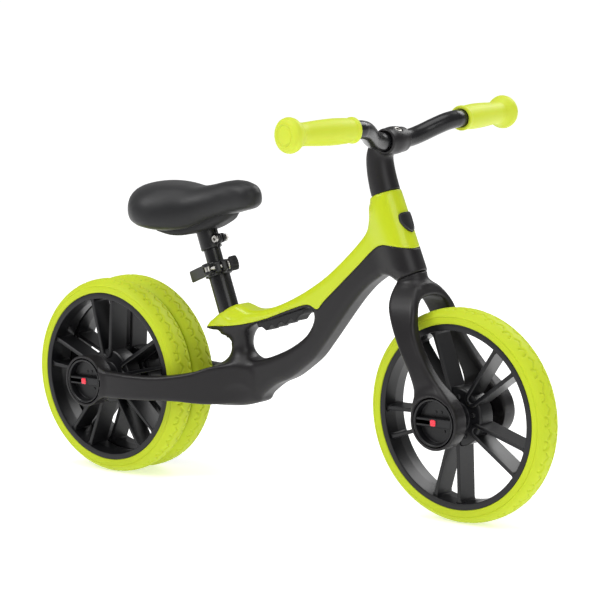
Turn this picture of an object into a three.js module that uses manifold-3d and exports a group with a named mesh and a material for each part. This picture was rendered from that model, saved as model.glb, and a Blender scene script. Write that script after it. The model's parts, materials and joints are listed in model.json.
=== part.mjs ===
// Balance bike with a quick-release saddle clamp, two rear wheels side by side and one front wheel.
// Millimetres. +X is the direction of travel, +Y is the rider's left, +Z is up, the floor is z = 0.
import * as THREE from 'three';
import { mergeVertices } from 'three/addons/utils/BufferGeometryUtils.js';
import Module from 'manifold-3d';

const wasm = await Module();
wasm.setup();

// Driving dimensions
const GAP = 0.3;
const WHEELBASE = 562;
const FRONT_X = WHEELBASE / 2;
const REAR_X = -WHEELBASE / 2;
const TYRE_R = 130;
const TYRE_WIDTH = 38;
const AXLE_Z = TYRE_R;
const REAR_TRACK = TYRE_WIDTH + 2;
const RIM_R = 112;
const RIM_INNER_R = 104.5;
const RIM_HALF = 18.3;
const CHANNEL_R = 107;
const SPOKE_COUNT = 5;
const SPOKE_DEPTH = 30;
const HUB_FLANGE_R = 31;
const SCREW_CIRCLE_R = 25;
const AXLE_R = 6;
const BEARING_R = 14;
const BEARING_WIDTH = 8;
const BOSS_R = 33.5;
const BOSS_DEPTH = 22;
const KNOB_R = 28.8;
const KNOB_DEPTH = 13;
const FRONT_BOSS_Y = 60;
const REAR_BOSS_Y = 80;
const FRONT_SPOKE_ANGLE = 45.5;
const REAR_SPOKE_ANGLE = 22;
const RIM_FACETS = 30;
const BOSS_FACETS = 20;
const TUBE_FACETS = 16;
const SMALL_FACETS = 12;
const FRAME_WIDTH = 34;
const FRAME_ROUND = 7;

// Steering axis: from the fork joint, s runs upwards along it
const HEAD_BASE = new THREE.Vector3(208, 0, 294);
const HEAD_DIR = new THREE.Vector3(-38, 0, 97).normalize();
const HEAD_LENGTH = 104;
const HEAD_R = 19.2;
const STEERER_R = 12.7;
const BUSH_R = 15.3;

// Seat axis: from the top of the seat tube, t runs upwards along it
const SEAT_BASE = new THREE.Vector3(-106, 0, 271.5);
const SEAT_DIR = new THREE.Vector3(-0.326, 0, 0.945).normalize();
const SEAT_TUBE_R = 14;
const POST_R = 11;
const TUBE_WALL = 2;
const CLAMP_ANGLE = -35;
const CLAMP_REACH = 24.4;
const LEVER_REACH = 17.6;
const LEVER_SPLAY = 22.3;

// Handlebar and stem
const BAR_R = 11;
const BAR_CLAMP_HALF = 18;
const BAR_CENTRE = new THREE.Vector3(183, 0, 456);
const BOLT_DIR = new THREE.Vector3(0.45, 0, 0.89).normalize();
const GRIP_START = new THREE.Vector3(206.4, 104, 476.1);
const GRIP_END = new THREE.Vector3(196, 208, 477);

const MATERIALS = {
  lime: { color: 0xc3da2c, roughness: 0.45, metalness: 0 },
  satinBlack: { color: 0x26262a, roughness: 0.5, metalness: 0 },
  steelBlack: { color: 0x2c2c30, roughness: 0.38, metalness: 0.4 },
  softBlack: { color: 0x222225, roughness: 0.6, metalness: 0 },
  foamLime: { color: 0xc3e02c, roughness: 0.7, metalness: 0 },
  gripLime: { color: 0xcfe234, roughness: 0.7, metalness: 0 },
  red: { color: 0xff3746, roughness: 0.4, metalness: 0 },
  steel: { color: 0xb9b7b2, roughness: 0.25, metalness: 1 },
};

// Solids ---------------------------------------------------------------------

// Turns a three.js geometry into a solid whose faces point outwards.
function toSolid(geometry) {
  const bare = geometry.clone();
  bare.deleteAttribute('normal');
  bare.deleteAttribute('uv');
  const welded = mergeVertices(bare, 1e-4);
  const p = welded.attributes.position.array;
  const index = welded.index.array;
  const kept = [];
  let volume = 0;
  for (let i = 0; i < index.length; i += 3) {
    const [a, b, c] = [index[i], index[i + 1], index[i + 2]];
    if (a === b || b === c || a === c) continue;
    const va = new THREE.Vector3().fromArray(p, 3 * a);
    const vb = new THREE.Vector3().fromArray(p, 3 * b);
    const vc = new THREE.Vector3().fromArray(p, 3 * c);
    volume += va.dot(vb.cross(vc));
    kept.push(a, b, c);
  }
  if (volume < 0) kept.reverse();
  return new wasm.Manifold(new wasm.Mesh({
    numProp: 3,
    vertProperties: new Float32Array(p),
    triVerts: new Uint32Array(kept),
  }));
}

function toGeometry(solid) {
  const mesh = solid.getMesh();
  const geometry = new THREE.BufferGeometry();
  geometry.setAttribute('position', new THREE.BufferAttribute(mesh.vertProperties, 3));
  geometry.setIndex(new THREE.BufferAttribute(mesh.triVerts, 1));
  const flat = geometry.toNonIndexed();
  flat.computeVertexNormals();
  return flat;
}

const vec2 = (pairs) => pairs.map(([x, y]) => new THREE.Vector2(x, y));
const shapeOf = (pairs) => new THREE.Shape(vec2(pairs));

// A smooth closed outline through hand-placed points.
function smoothShape(pairs) {
  const points = vec2(pairs);
  const shape = new THREE.Shape();
  shape.moveTo(points[0].x, points[0].y);
  shape.splineThru(points.slice(1));
  shape.closePath();
  return shape;
}

// Extrudes a shape; bevel rounds both faces and keeps the outline at mid depth.
function extruded(shape, depth, bevel = 0, curveSegments = 2) {
  const geometry = new THREE.ExtrudeGeometry(shape, {
    depth: depth - 2 * bevel,
    steps: 1,
    curveSegments,
    bevelEnabled: bevel > 0,
    bevelThickness: bevel,
    bevelSize: bevel,
    bevelOffset: -bevel,
    bevelSegments: 1,
  });
  return geometry.translate(0, 0, bevel - depth / 2);
}

// Outline in (x, z), centred on y and as wide as width.
function sideProfile(shape, width, bevel = 0, y = 0, curveSegments = 2) {
  return toSolid(extruded(shape, width, bevel, curveSegments).rotateX(Math.PI / 2).translate(0, y, 0));
}

// Outline in (x, y), from z0 up to z1.
function planProfile(shape, z0, z1, bevel = 0) {
  return toSolid(extruded(shape, z1 - z0, bevel).translate(0, 0, (z0 + z1) / 2));
}

// Outline in (y, z), from x0 to x1.
function frontProfile(shape, x0, x1) {
  const turn = new THREE.Matrix4().makeBasis(
    new THREE.Vector3(0, 1, 0), new THREE.Vector3(0, 0, 1), new THREE.Vector3(1, 0, 0));
  return toSolid(extruded(shape, x1 - x0).applyMatrix4(turn).translate((x0 + x1) / 2, 0, 0));
}

// Matrix that stands the local +Y axis along dir at base, with local +X as near world +X as it can be.
function along(base, dir) {
  const across = new THREE.Vector3(1, 0, 0).addScaledVector(dir, -dir.x).normalize();
  const third = across.clone().cross(dir);
  return new THREE.Matrix4().makeBasis(across, dir, third).setPosition(base);
}

const UPRIGHT = new THREE.Matrix4();

// Profile in (radius, height) turned about the local +Y axis.
function turned(profile, segments = 24, matrix = UPRIGHT) {
  const closed = profile[0][0] === 0 ? profile : [...profile, profile[0]];
  return toSolid(new THREE.LatheGeometry(vec2(closed), segments).applyMatrix4(matrix));
}

function rod(radius, from, to, segments = 20, matrix = UPRIGHT) {
  return turned([[0, from], [radius, from], [radius, to], [0, to]], segments, matrix);
}

function pipe(outer, inner, from, to, segments = 24, matrix = UPRIGHT) {
  return turned([[inner, from], [outer, from], [outer, to], [inner, to]], segments, matrix);
}

function hexNut(radius, from, to, matrix) {
  return rod(radius, from, to, 6, matrix).subtract(rod(3 + GAP, from - 1, to + 1, SMALL_FACETS, matrix));
}

function box(size, centre, matrix = UPRIGHT) {
  const geometry = new THREE.BoxGeometry(...size).translate(...centre);
  return toSolid(geometry.applyMatrix4(matrix));
}

const at = (x, y, z) => new THREE.Matrix4().makeTranslation(x, y, z);
const headMatrix = along(HEAD_BASE, HEAD_DIR);
const seatMatrix = along(SEAT_BASE, SEAT_DIR);

// Local frame of the saddle clamp: +X towards its ears, +Y up the seat axis.
const clampMatrix = seatMatrix.clone().multiply(
  new THREE.Matrix4().makeRotationY(THREE.MathUtils.degToRad(CLAMP_ANGLE)));

// Scene graph ----------------------------------------------------------------

const bike = new THREE.Group();
bike.name = 'balance_bike';

function add(name, solid, material) {
  const mesh = new THREE.Mesh(toGeometry(solid), new THREE.MeshStandardMaterial(MATERIALS[material]));
  mesh.name = name;
  bike.add(mesh);
}

// Wheels ---------------------------------------------------------------------

// Foam tyre: a rounded tread over a tongue that sits in the rim's channel.
function tyre(matrix) {
  const upper = [
    [CHANNEL_R + 0.4, 13.6], [RIM_R + 0.4, 16], [RIM_R + 0.4, 18.3], [121, TYRE_WIDTH / 2],
    [126.5, 15], [TYRE_R, 7],
  ];
  const lower = upper.map(([r, y]) => [r, -y]).reverse();
  return turned([...upper, ...lower], RIM_FACETS, matrix);
}

// One spoke pair: two ribs joined by a rounded bottom, in local (across, outwards).
function spokePair() {
  const bottom = 33;
  const end = RIM_INNER_R - 0.6;
  const outer = new THREE.Shape();
  outer.moveTo(20.5, end);
  outer.lineTo(9.5, bottom);
  outer.absarc(0, bottom, 9.5, 0, -Math.PI, true);
  outer.lineTo(-20.5, end);
  outer.lineTo(-15.5, end);
  outer.lineTo(-4.5, bottom);
  outer.absarc(0, bottom, 4.5, -Math.PI, 0, false);
  outer.lineTo(15.5, end);
  return outer;
}

// Moulded wheel core: rim, spoke pairs and a hub reaching from -inner to +outer.
function wheelCore(inner, outer, firstAngle, matrix) {
  const rim = turned([
    [RIM_INNER_R, -RIM_HALF], [RIM_R, -RIM_HALF], [RIM_R, -16.4], [CHANNEL_R, -14],
    [CHANNEL_R, 14], [RIM_R, 16.4], [RIM_R, RIM_HALF], [RIM_INNER_R, RIM_HALF],
  ], RIM_FACETS);
  const seat = BEARING_R + 0.1;
  const depth = BEARING_WIDTH + 0.2;
  const hub = turned([
    [seat, -inner], [18, -inner], [21, -13], [HUB_FLANGE_R, -12], [HUB_FLANGE_R, 12], [24, 13],
    [18, outer], [seat, outer], [seat, outer - depth], [9, outer - depth],
    [9, depth - inner], [seat, depth - inner],
  ], TUBE_FACETS);
  let core = rim.add(hub);
  for (let i = 0; i < SPOKE_COUNT; i += 1) {
    const angle = THREE.MathUtils.degToRad(firstAngle + (360 / SPOKE_COUNT) * i - 90);
    const rib = extruded(spokePair(), SPOKE_DEPTH, 0, 2).rotateX(Math.PI / 2).rotateY(-angle);
    core = core.add(toSolid(rib));
  }
  const clearBore = rod(9, -inner, outer, TUBE_FACETS);
  return core.subtract(clearBore).transform(matrix.elements);
}

function bearing(y, matrix) {
  return pipe(BEARING_R, AXLE_R + GAP, y, y + BEARING_WIDTH, TUBE_FACETS, matrix);
}

function addWheel(prefix, x, y, inner, outer, angle, mirrored) {
  const turn = mirrored ? new THREE.Matrix4().makeRotationX(Math.PI) : UPRIGHT;
  const matrix = at(x, y, AXLE_Z).multiply(turn);
  const firstAngle = mirrored ? -angle : angle;
  add(`${prefix}_core`, wheelCore(inner, outer, firstAngle, matrix), 'satinBlack');
  add(`${prefix}_tyre`, tyre(matrix), 'foamLime');
  add(`${prefix}_bearing_inner`, bearing(-inner, matrix), 'steel');
  add(`${prefix}_bearing_outer`, bearing(outer - BEARING_WIDTH, matrix), 'steel');
}

function addHubScrews() {
  for (let i = 0; i < SPOKE_COUNT; i += 1) {
    const angle = THREE.MathUtils.degToRad(FRONT_SPOKE_ANGLE + (i + 0.5) * (360 / SPOKE_COUNT));
    const x = FRONT_X + SCREW_CIRCLE_R * Math.cos(angle);
    const z = AXLE_Z + SCREW_CIRCLE_R * Math.sin(angle);
    add(`hub_screw_${i + 1}`, rod(3, -14.9, -13.2, 8, at(x, 0, z)), 'steelBlack');
  }
}

// Axle ends ------------------------------------------------------------------

// Ring boss on a fork or stay end, recessed on its outer face for the knob.
function boss(x, faceY, side) {
  const matrix = at(x, 0, AXLE_Z);
  const outside = side * faceY;
  const inside = side * (faceY - BOSS_DEPTH);
  return rod(BOSS_R, Math.min(outside, inside), Math.max(outside, inside), BOSS_FACETS, matrix);
}

function bossCut(x, faceY, side) {
  const matrix = at(x, 0, AXLE_Z);
  const floor = side * (faceY - KNOB_DEPTH);
  const beyond = side * (faceY + 5);
  const recess = rod(KNOB_R + 1.2, Math.min(floor, beyond), Math.max(floor, beyond), BOSS_FACETS, matrix);
  const bore = rod(AXLE_R + GAP, -faceY, faceY, SMALL_FACETS, matrix);
  return recess.add(bore);
}

// Right-hand release knob: a bowl with a slotted finger bar and a square button pocket.
function knob(x, faceY) {
  const matrix = at(x, 0, AXLE_Z);
  const front = -faceY - 0.5;
  const back = front + KNOB_DEPTH;
  const floor = front + 9.5;
  const bowlR = 24.5;
  const bowl = turned([
    [0, back], [KNOB_R, back], [KNOB_R, front + 1], [KNOB_R - 1, front],
    [bowlR + 0.5, front], [bowlR, floor], [0, floor],
  ], BOSS_FACETS, matrix);
  const bar = box([2 * bowlR + 1, 9, 10], [0, (front + 1 + floor) / 2 + 0.5, 0], matrix);
  const slot = box([20, 9, 3.4], [-14, front + 3.5, 0], matrix);
  const pocket = box([8.6, 30, 8.6], [0, front + 12, 0], matrix);
  const bore = rod(AXLE_R + GAP, floor + 1.5, back + 1, SMALL_FACETS, matrix);
  return bowl.add(bar).subtract(slot).subtract(pocket).subtract(bore);
}

function button(x, faceY) {
  const front = -faceY - 0.3;
  const outline = extruded(roundedSquare(8, 1.6), 9, 0, 1).rotateX(Math.PI / 2);
  return toSolid(outline.translate(x, front + 4.5, AXLE_Z));
}

function roundedSquare(size, radius) {
  const h = size / 2;
  const shape = new THREE.Shape();
  shape.moveTo(h, -h + radius);
  shape.absarc(h - radius, h - radius, radius, 0, Math.PI / 2, false);
  shape.absarc(radius - h, h - radius, radius, Math.PI / 2, Math.PI, false);
  shape.absarc(radius - h, radius - h, radius, Math.PI, Math.PI * 1.5, false);
  shape.absarc(h - radius, radius - h, radius, Math.PI * 1.5, Math.PI * 2, false);
  return shape;
}

// Return spring behind the button: four turns of round wire.
class Helix extends THREE.Curve {
  constructor(x, y0, y1, radius, turns) {
    super();
    Object.assign(this, { x, y0, y1, radius, turns });
  }

  getPoint(t) {
    const angle = 2 * Math.PI * this.turns * t;
    const y = this.y0 + (this.y1 - this.y0) * t;
    return new THREE.Vector3(
      this.x + this.radius * Math.cos(angle), y, AXLE_Z + this.radius * Math.sin(angle));
  }
}

function spring(x, faceY) {
  const start = -faceY + 9.6;
  const path = new Helix(x, start, start + 11, 2.5, 4);
  const wire = new THREE.Shape().absarc(0, 0, 0.45, 0, 2 * Math.PI, false);
  return toSolid(new THREE.ExtrudeGeometry(wire, {
    steps: 24, curveSegments: 2, bevelEnabled: false, extrudePath: path,
  }));
}

// Axle shaft with a hollow right-hand end that takes the spring.
function axle(x, faceY) {
  const end = faceY - 11.6;
  const hollow = 3.4;
  const profile = [
    [0, -end + 10], [hollow, -end + 10], [hollow, -end], [AXLE_R, -end],
    [AXLE_R, end], [0, end],
  ];
  return turned(profile, SMALL_FACETS, at(x, 0, AXLE_Z));
}

// Left-hand cap: a shallow dome that screws onto the axle.
function axleCap(x, faceY) {
  const face = faceY + 0.5;
  const back = face - KNOB_DEPTH;
  const cap = turned([
    [0, back], [KNOB_R, back], [KNOB_R, face - 2], [KNOB_R - 2, face - 0.6],
    [KNOB_R - 5, face - 1.6], [12, face - 0.4], [0, face],
  ], BOSS_FACETS, at(x, 0, AXLE_Z));
  return cap.subtract(rod(AXLE_R + GAP, back - 1, faceY - 10.8, SMALL_FACETS, at(x, 0, AXLE_Z)));
}

function addAxleSet(prefix, x, faceY) {
  add(`${prefix}_axle`, axle(x, faceY), 'steel');
  add(`${prefix}_release_knob`, knob(x, faceY), 'satinBlack');
  add(`${prefix}_release_button`, button(x, faceY), 'red');
  add(`${prefix}_button_spring`, spring(x, faceY), 'steel');
  add(`${prefix}_axle_cap`, axleCap(x, faceY), 'satinBlack');
}

// Frame and top cover --------------------------------------------------------

const FRAME_TOP = [
  [-119, 209], [-112, 216], [-90, 229], [-70, 239], [-60, 238], [-40, 234], [-4, 241], [38, 259],
  [76, 281], [105, 303], [131, 326], [147, 343], [154, 358], [158, 372],
];
const FRAME_UNDER = [
  [171, 293], [147, 277], [124, 255], [94, 220], [77, 200], [59, 180], [38, 164], [18, 151],
  [-5, 141], [-26, 126], [-34, 116], [-52, 112], [-87, 108], [-123, 107], [-130, 118], [-131, 140],
  [-124, 203],
];
const HANDLE_HOLE = [
  [-150, 138], [-125, 146], [-100, 157], [-70, 164], [-45, 168], [-20, 174], [0, 181], [22, 191],
  [44, 205], [56, 218], [62, 231], [60, 241], [50, 243], [31, 237], [10, 230], [-10, 223],
  [-30, 218], [-48, 212], [-75, 206], [-110, 203], [-150, 203],
];
const COLUMN_BASE = new THREE.Vector3(-68, 0, 150);
const COLUMN_DIR = new THREE.Vector3(-0.03, 0, 1).normalize();
const COLUMN_R = 14;
const COLUMN_LENGTH = 62;
const COVER_EDGE = [
  [219, 327], [189, 331], [176, 330], [162, 324], [139, 304], [110, 279], [81, 254], [71, 244],
  [59, 248], [47, 247], [20, 238], [-16, 225], [-55, 215], [-102, 209], [-125, 207],
];

// Whole outer form of frame and cover together.
function frameForm() {
  const outline = new THREE.Shape();
  outline.moveTo(...FRAME_TOP[0]);
  outline.splineThru(vec2(FRAME_TOP.slice(1)));
  outline.lineTo(172, 380);
  outline.lineTo(206, 300);
  outline.lineTo(...FRAME_UNDER[0]);
  outline.splineThru(vec2(FRAME_UNDER.slice(1)));
  const opening = sideProfile(shapeOf(HANDLE_HOLE), 2 * FRAME_WIDTH);
  const column = rod(COLUMN_R, 0, COLUMN_LENGTH, TUBE_FACETS, along(COLUMN_BASE, COLUMN_DIR));
  const beam = sideProfile(outline, FRAME_WIDTH, FRAME_ROUND, 0, 1).subtract(opening).add(column);
  const head = turned([
    [0, 0.4], [18.7, 0.4], [18.9, 30], [HEAD_R + 0.4, 60], [HEAD_R, HEAD_LENGTH], [0, HEAD_LENGTH],
  ], BOSS_FACETS, headMatrix);
  const rim = shapeOf([[-140, 180], [-140, 199], [-60, 244.5], [-60, 180]]);
  const collar = rod(18.4, -72, 0, TUBE_FACETS, seatMatrix).intersect(sideProfile(rim, 80));
  return beam.add(head).add(collar);
}

// Wishbone stays: the plan of both arms, trimmed to their height from the side.
function stays() {
  const plan = new THREE.Shape();
  const outer = [[-50, 16], [-80, 33], [-110, 50], [-140, 62], [-180, 73], [-220, 79], [-290, 80]];
  const inner = [[-290, 66], [-230, 66], [-190, 60], [-160, 49], [-135, 36], [-112, 20], [-104, 0]];
  const half = [...outer, ...inner];
  const otherHalf = half.slice(0, -1).reverse().map(([x, y]) => [x, -y]);
  plan.setFromPoints(vec2([[-20, 14], ...half, ...otherHalf, [-20, -14]]));
  const side = shapeOf([
    [-300, 146], [-247, 146], [-197, 144], [-166, 144], [-134, 148], [-112, 153], [-92, 161],
    [-60, 166], [-15, 150], [-24, 124], [-34, 116], [-60, 112], [-100, 110], [-140, 114], [-183, 112],
    [-224, 111], [-300, 111],
  ]);
  return planProfile(plan, 90, 180).intersect(sideProfile(side, 200));
}

// Rib of the frame that stands inside the cover and carries it.
function coverRib(grow) {
  const upper = [[-44, 228.5], [-4, 236], [38, 255], [76, 278], [105, 304], [133, 332], [150, 355],
    [184, 352]];
  const lower = [[198, 318], [176, 322], [160, 316], [139, 297], [110, 272], [84, 248], [60, 246],
    [47, 245], [20, 236], [-16, 223], [-44, 216]];
  const raised = upper.map(([x, z]) => [x, z + grow]);
  const dropped = lower.map(([x, z]) => [x, z - grow]);
  const rib = sideProfile(shapeOf([[-44 - grow, 221], ...raised, ...dropped]), 22 + 2 * grow);
  return rib.add(rod(17.3 + grow, 20, HEAD_LENGTH + (grow ? 1 : 0), BOSS_FACETS, headMatrix));
}

// Region above the parting line, moved down by drop.
function aboveParting(drop) {
  const edge = COVER_EDGE.map(([x, z]) => [x, z - drop]);
  return sideProfile(shapeOf([...edge, [-125, 420], [260, 420], [260, 327 - drop]]), 90);
}

function frameBores() {
  const steering = rod(BUSH_R + GAP, -2, HEAD_LENGTH + 2, TUBE_FACETS, headMatrix);
  const seat = rod(SEAT_TUBE_R + GAP, -70.5, 30, TUBE_FACETS, seatMatrix);
  const below = rod(POST_R + 0.7, -92, -60, TUBE_FACETS, seatMatrix);
  return steering.add(seat).add(below);
}

function addFrame() {
  const form = frameForm();
  let frame = form.subtract(aboveParting(GAP)).add(coverRib(0)).add(stays());
  for (const side of [-1, 1]) frame = frame.add(boss(REAR_X, REAR_BOSS_Y, side));
  for (const side of [-1, 1]) frame = frame.subtract(bossCut(REAR_X, REAR_BOSS_Y, side));
  const tyreRoom = rod(TYRE_R + 4, -41, 41, RIM_FACETS, at(REAR_X, 0, AXLE_Z));
  add('frame', frame.subtract(frameBores()).subtract(tyreRoom), 'satinBlack');
  const cover = form.intersect(aboveParting(0)).subtract(coverRib(GAP)).subtract(frameBores());
  add('top_cover', cover, 'lime');
}

// Ribbed finger strip under the carry handle.
function handleGrip() {
  const shape = new THREE.Shape();
  shape.moveTo(-34, 216.6);
  shape.lineTo(-10, 222.6);
  shape.lineTo(10, 229.5);
  shape.lineTo(31, 236.4);
  shape.lineTo(48, 241.6);
  const bumps = [[44, 234], [26, 228.5], [8, 222.5], [-10, 216.5], [-28, 212]];
  shape.lineTo(...bumps[0]);
  for (let i = 1; i < bumps.length; i += 1) {
    const [x0, z0] = bumps[i - 1];
    const [x1, z1] = bumps[i];
    shape.quadraticCurveTo((x0 + x1) / 2 - 1, (z0 + z1) / 2 + 5, x1, z1);
  }
  return sideProfile(shape, 24, 0, 0, 4);
}

// Generic shield badge wrapped on the front of the head tube.
function headBadge() {
  const outline = shapeOf([[-11, 12], [11, 12], [12.5, 2], [8, -9], [0, -15], [-8, -9], [-12.5, 2]]);
  const local = new THREE.Matrix4().makeBasis(
    new THREE.Vector3(0, 0, 1), new THREE.Vector3(0, 1, 0), new THREE.Vector3(-1, 0, 0));
  const stamp = extruded(outline, 40).applyMatrix4(local).translate(20, 62, 0);
  const shell = pipe(HEAD_R + 2.3, HEAD_R + 0.9, 30, 90, RIM_FACETS, headMatrix);
  return shell.intersect(toSolid(stamp.applyMatrix4(headMatrix)));
}

// Saddle, post and clamp -----------------------------------------------------

const CUSHION_SIDE = [
  [-239, 362], [-236, 376], [-222, 387], [-200, 391.5], [-171, 390.5], [-140, 387], [-110, 389],
  [-82, 394], [-60, 396], [-42, 391.5], [-33.5, 381], [-36, 370], [-60, 361.5], [-100, 348.5],
  [-150, 333], [-190, 330.5], [-222, 337], [-236, 349],
];
const CUSHION_PLAN = [
  [-240, 12], [-236, 30], [-226, 46], [-206, 60], [-180, 63], [-155, 53], [-130, 38], [-100, 28],
  [-70, 24], [-48, 20], [-37, 12],
];

function cushion(drop) {
  const side = sideProfile(smoothShape(CUSHION_SIDE.map(([x, z]) => [x, z - drop])), 150);
  const mirrored = CUSHION_PLAN.slice().reverse().map(([x, y]) => [x, -y]);
  const plan = smoothShape([...CUSHION_PLAN, [-33, 0], ...mirrored, [-241, 0]]);
  return side.intersect(planProfile(plan, 300, 420));
}

function addSaddle() {
  const underside = shapeOf([
    [-200, 345], [-195, 330], [-165, 324], [-146, 324.5], [-110, 334], [-82, 347], [-72, 357],
    [-90, 372], [-200, 360],
  ]);
  const plan = smoothShape([[-205, 26], [-165, 30], [-110, 18], [-72, 11], [-72, -11], [-110, -18],
    [-165, -30], [-205, -26]]);
  const shell = sideProfile(underside, 80).intersect(planProfile(plan, 310, 380));
  const socket = rod(POST_R + GAP, 20, 72, TUBE_FACETS, seatMatrix);
  const sleeveRoom = rod(14.4, 30, 63.5, TUBE_FACETS, seatMatrix);
  add('saddle_base', shell.subtract(cushion(GAP)).subtract(sleeveRoom).subtract(socket), 'softBlack');
  add('saddle_cushion', cushion(0), 'softBlack');

  const tube = rod(13.8, 37, 63, TUBE_FACETS, seatMatrix);
  const ear = box([14, 15, 15], [17, 46.5, 0], seatMatrix);
  const slit = box([24, 40, 2.4], [18, 50, 0], seatMatrix);
  const hole = rod(3.3, -20, 20, SMALL_FACETS, sleeveBoltMatrix());
  const sleeve = tube.add(ear).subtract(socket).subtract(slit).subtract(hole);
  add('saddle_sleeve', sleeve, 'steelBlack');
  add('sleeve_bolt', turned([
    [0, -11.5], [5, -11.5], [5, -7.8], [3, -7.8], [3, 12], [0, 12],
  ], SMALL_FACETS, sleeveBoltMatrix()), 'steel');
  add('sleeve_nut', hexNut(5.4, 7.9, 11.6, sleeveBoltMatrix()), 'steel');
  add('seat_post', pipe(POST_R, POST_R - TUBE_WALL, -64, 62, TUBE_FACETS, seatMatrix), 'steelBlack');
}

function sleeveBoltMatrix() {
  const centre = new THREE.Vector3(18.5, 46.5, 0).applyMatrix4(seatMatrix);
  return at(centre.x, centre.y, centre.z);
}

// Pivot of the cam lever: the clamp's frame moved to the end of the bolt.
function leverMatrix() {
  return clampMatrix.clone().multiply(at(CLAMP_REACH, 10, LEVER_REACH));
}

// Clamp bolt axis, crossing the ears; local +Y runs from the lever to the nut.
function clampBoltMatrix() {
  const turn = new THREE.Matrix4().makeRotationX(-Math.PI / 2);
  return clampMatrix.clone().multiply(at(CLAMP_REACH, 10, 0)).multiply(turn);
}

function addSeatClamp() {
  const ring = pipe(17.6, SEAT_TUBE_R + GAP, 1, 19, TUBE_FACETS, clampMatrix);
  const ears = box([13, 14, 17], [CLAMP_REACH - 1.5, 10, 0], clampMatrix);
  const slit = box([26, 40, 2.6], [24, 10, 0], clampMatrix);
  const inside = rod(SEAT_TUBE_R + GAP, 0, 20, TUBE_FACETS, clampMatrix);
  const hole = rod(2.8, -20, 20, SMALL_FACETS, clampBoltMatrix());
  const collar = ring.add(ears).subtract(slit).subtract(inside).subtract(hole);
  add('clamp_collar', collar, 'satinBlack');

  const barrel = rod(4, -7.5, 7.5, SMALL_FACETS, leverMatrix());
  const shaft = rod(2.5, -LEVER_REACH, 20, SMALL_FACETS, clampBoltMatrix());
  add('clamp_bolt', shaft.add(barrel), 'steel');
  add('clamp_washer', pipe(6, 2.8, -10.8, -8.9, SMALL_FACETS, clampBoltMatrix()), 'steel');

  const ribs = [];
  for (let i = 0; i < 48; i += 1) {
    const angle = (i / 48) * 2 * Math.PI;
    const radius = 8.3 + (i % 4 < 2 ? 0.9 : 0);
    ribs.push([radius * Math.cos(angle), radius * Math.sin(angle)]);
  }
  const thumb = extruded(shapeOf(ribs), 11).rotateX(Math.PI / 2).translate(0, 14.8, 0);
  const nutBore = rod(2.8, 0, 30, SMALL_FACETS, clampBoltMatrix());
  const nut = toSolid(thumb.applyMatrix4(clampBoltMatrix())).subtract(nutBore);
  add('clamp_thumb_nut', nut, 'softBlack');
  add('clamp_lever', clampLever(), 'satinBlack');
}

// Cam lever: two eyes round the barrel and a flat blade that lies beside the collar.
function clampLever() {
  const pivot = leverMatrix();
  const bladeAngle = THREE.MathUtils.degToRad(-(180 - LEVER_SPLAY));
  const blade = pivot.clone().multiply(new THREE.Matrix4().makeRotationY(bladeAngle));
  const eye = rod(6.2, -7.5, 7.5, SMALL_FACETS, pivot);
  const arm = box([34, 15, 4.4], [19, 0, 1.6], blade);
  const tip = box([12, 15, 3.6], [40, 0, 2], blade);
  const notch = box([16, 6.4, 20], [-3, 0, 0], blade);
  const shaftRoom = box([30, 6.4, 30], [-9, 0, -8], pivot);
  const bore = rod(4.3, -9, 9, SMALL_FACETS, pivot);
  return eye.add(arm).add(tip).subtract(notch).subtract(shaftRoom).subtract(bore);
}

// Fork, stem and handlebar ---------------------------------------------------

const FORK_SIDE = [
  [195, 289], [196, 276], [199, 262], [206, 246], [215, 228], [229, 206], [243, 186], [252, 166],
  [252, 130], [312, 130], [298, 162], [274, 187], [256, 212], [244, 234], [242, 255], [237, 272],
  [230, 289],
];
const FORK_OUTER = [
  [13, 289], [20, 284.5], [27, 278], [34, 270], [41, 259], [46, 245], [50, 228], [55, 206],
  [58, 186], [60, 166], [60, 110],
];
const FORK_INNER = [
  [38, 110], [40, 163], [40, 187], [37, 214], [33, 236], [31, 250], [26, 262], [16, 269], [0, 271],
];

function addFork() {
  const half = [...FORK_OUTER, ...FORK_INNER];
  const otherHalf = half.slice(0, -1).reverse().map(([y, z]) => [-y, z]);
  const front = frontProfile(shapeOf([...half, ...otherHalf]), 180, 320);
  const legs = front.intersect(sideProfile(shapeOf(FORK_SIDE), 140));
  const neck = turned([[0, -18], [18, -18], [17.6, -6], [18.7, 0], [0, 0]], BOSS_FACETS, headMatrix);
  const cutTop = turned([[0, 0], [60, 0], [60, 40], [0, 40]], 8, headMatrix);
  let fork = legs.subtract(cutTop).add(neck);
  for (const side of [-1, 1]) fork = fork.add(boss(FRONT_X, FRONT_BOSS_Y, side));
  for (const side of [-1, 1]) fork = fork.subtract(bossCut(FRONT_X, FRONT_BOSS_Y, side));
  const hubRoom = rod(BOSS_R + 6, -37.5, 37.5, BOSS_FACETS, at(FRONT_X, 0, AXLE_Z));
  const steererSocket = rod(STEERER_R + GAP, -13, 5, TUBE_FACETS, headMatrix);
  const boltWay = rod(3.3, -40, 5, SMALL_FACETS, headMatrix);
  const boltHead = rod(6, -40, -17, SMALL_FACETS, headMatrix);
  fork = fork.subtract(hubRoom).subtract(steererSocket).subtract(boltWay).subtract(boltHead);
  add('fork', fork, 'satinBlack');
  add('steerer_tube', pipe(STEERER_R, 10.4, -12.6, 124, TUBE_FACETS, headMatrix), 'steel');
  for (const [name, from] of [['lower_bush', 1], ['upper_bush', HEAD_LENGTH - 17]]) {
    add(name, pipe(BUSH_R, STEERER_R + GAP, from, from + 16, TUBE_FACETS, headMatrix), 'softBlack');
  }
  add('steerer_bolt', turned([
    [0, -22.5], [5.4, -22.5], [5.4, -17.4], [3, -17.4], [3, 132], [0, 132],
  ], SMALL_FACETS, headMatrix), 'steel');
  add('steerer_nut', hexNut(7, 125, 131, headMatrix), 'steel');
}

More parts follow.
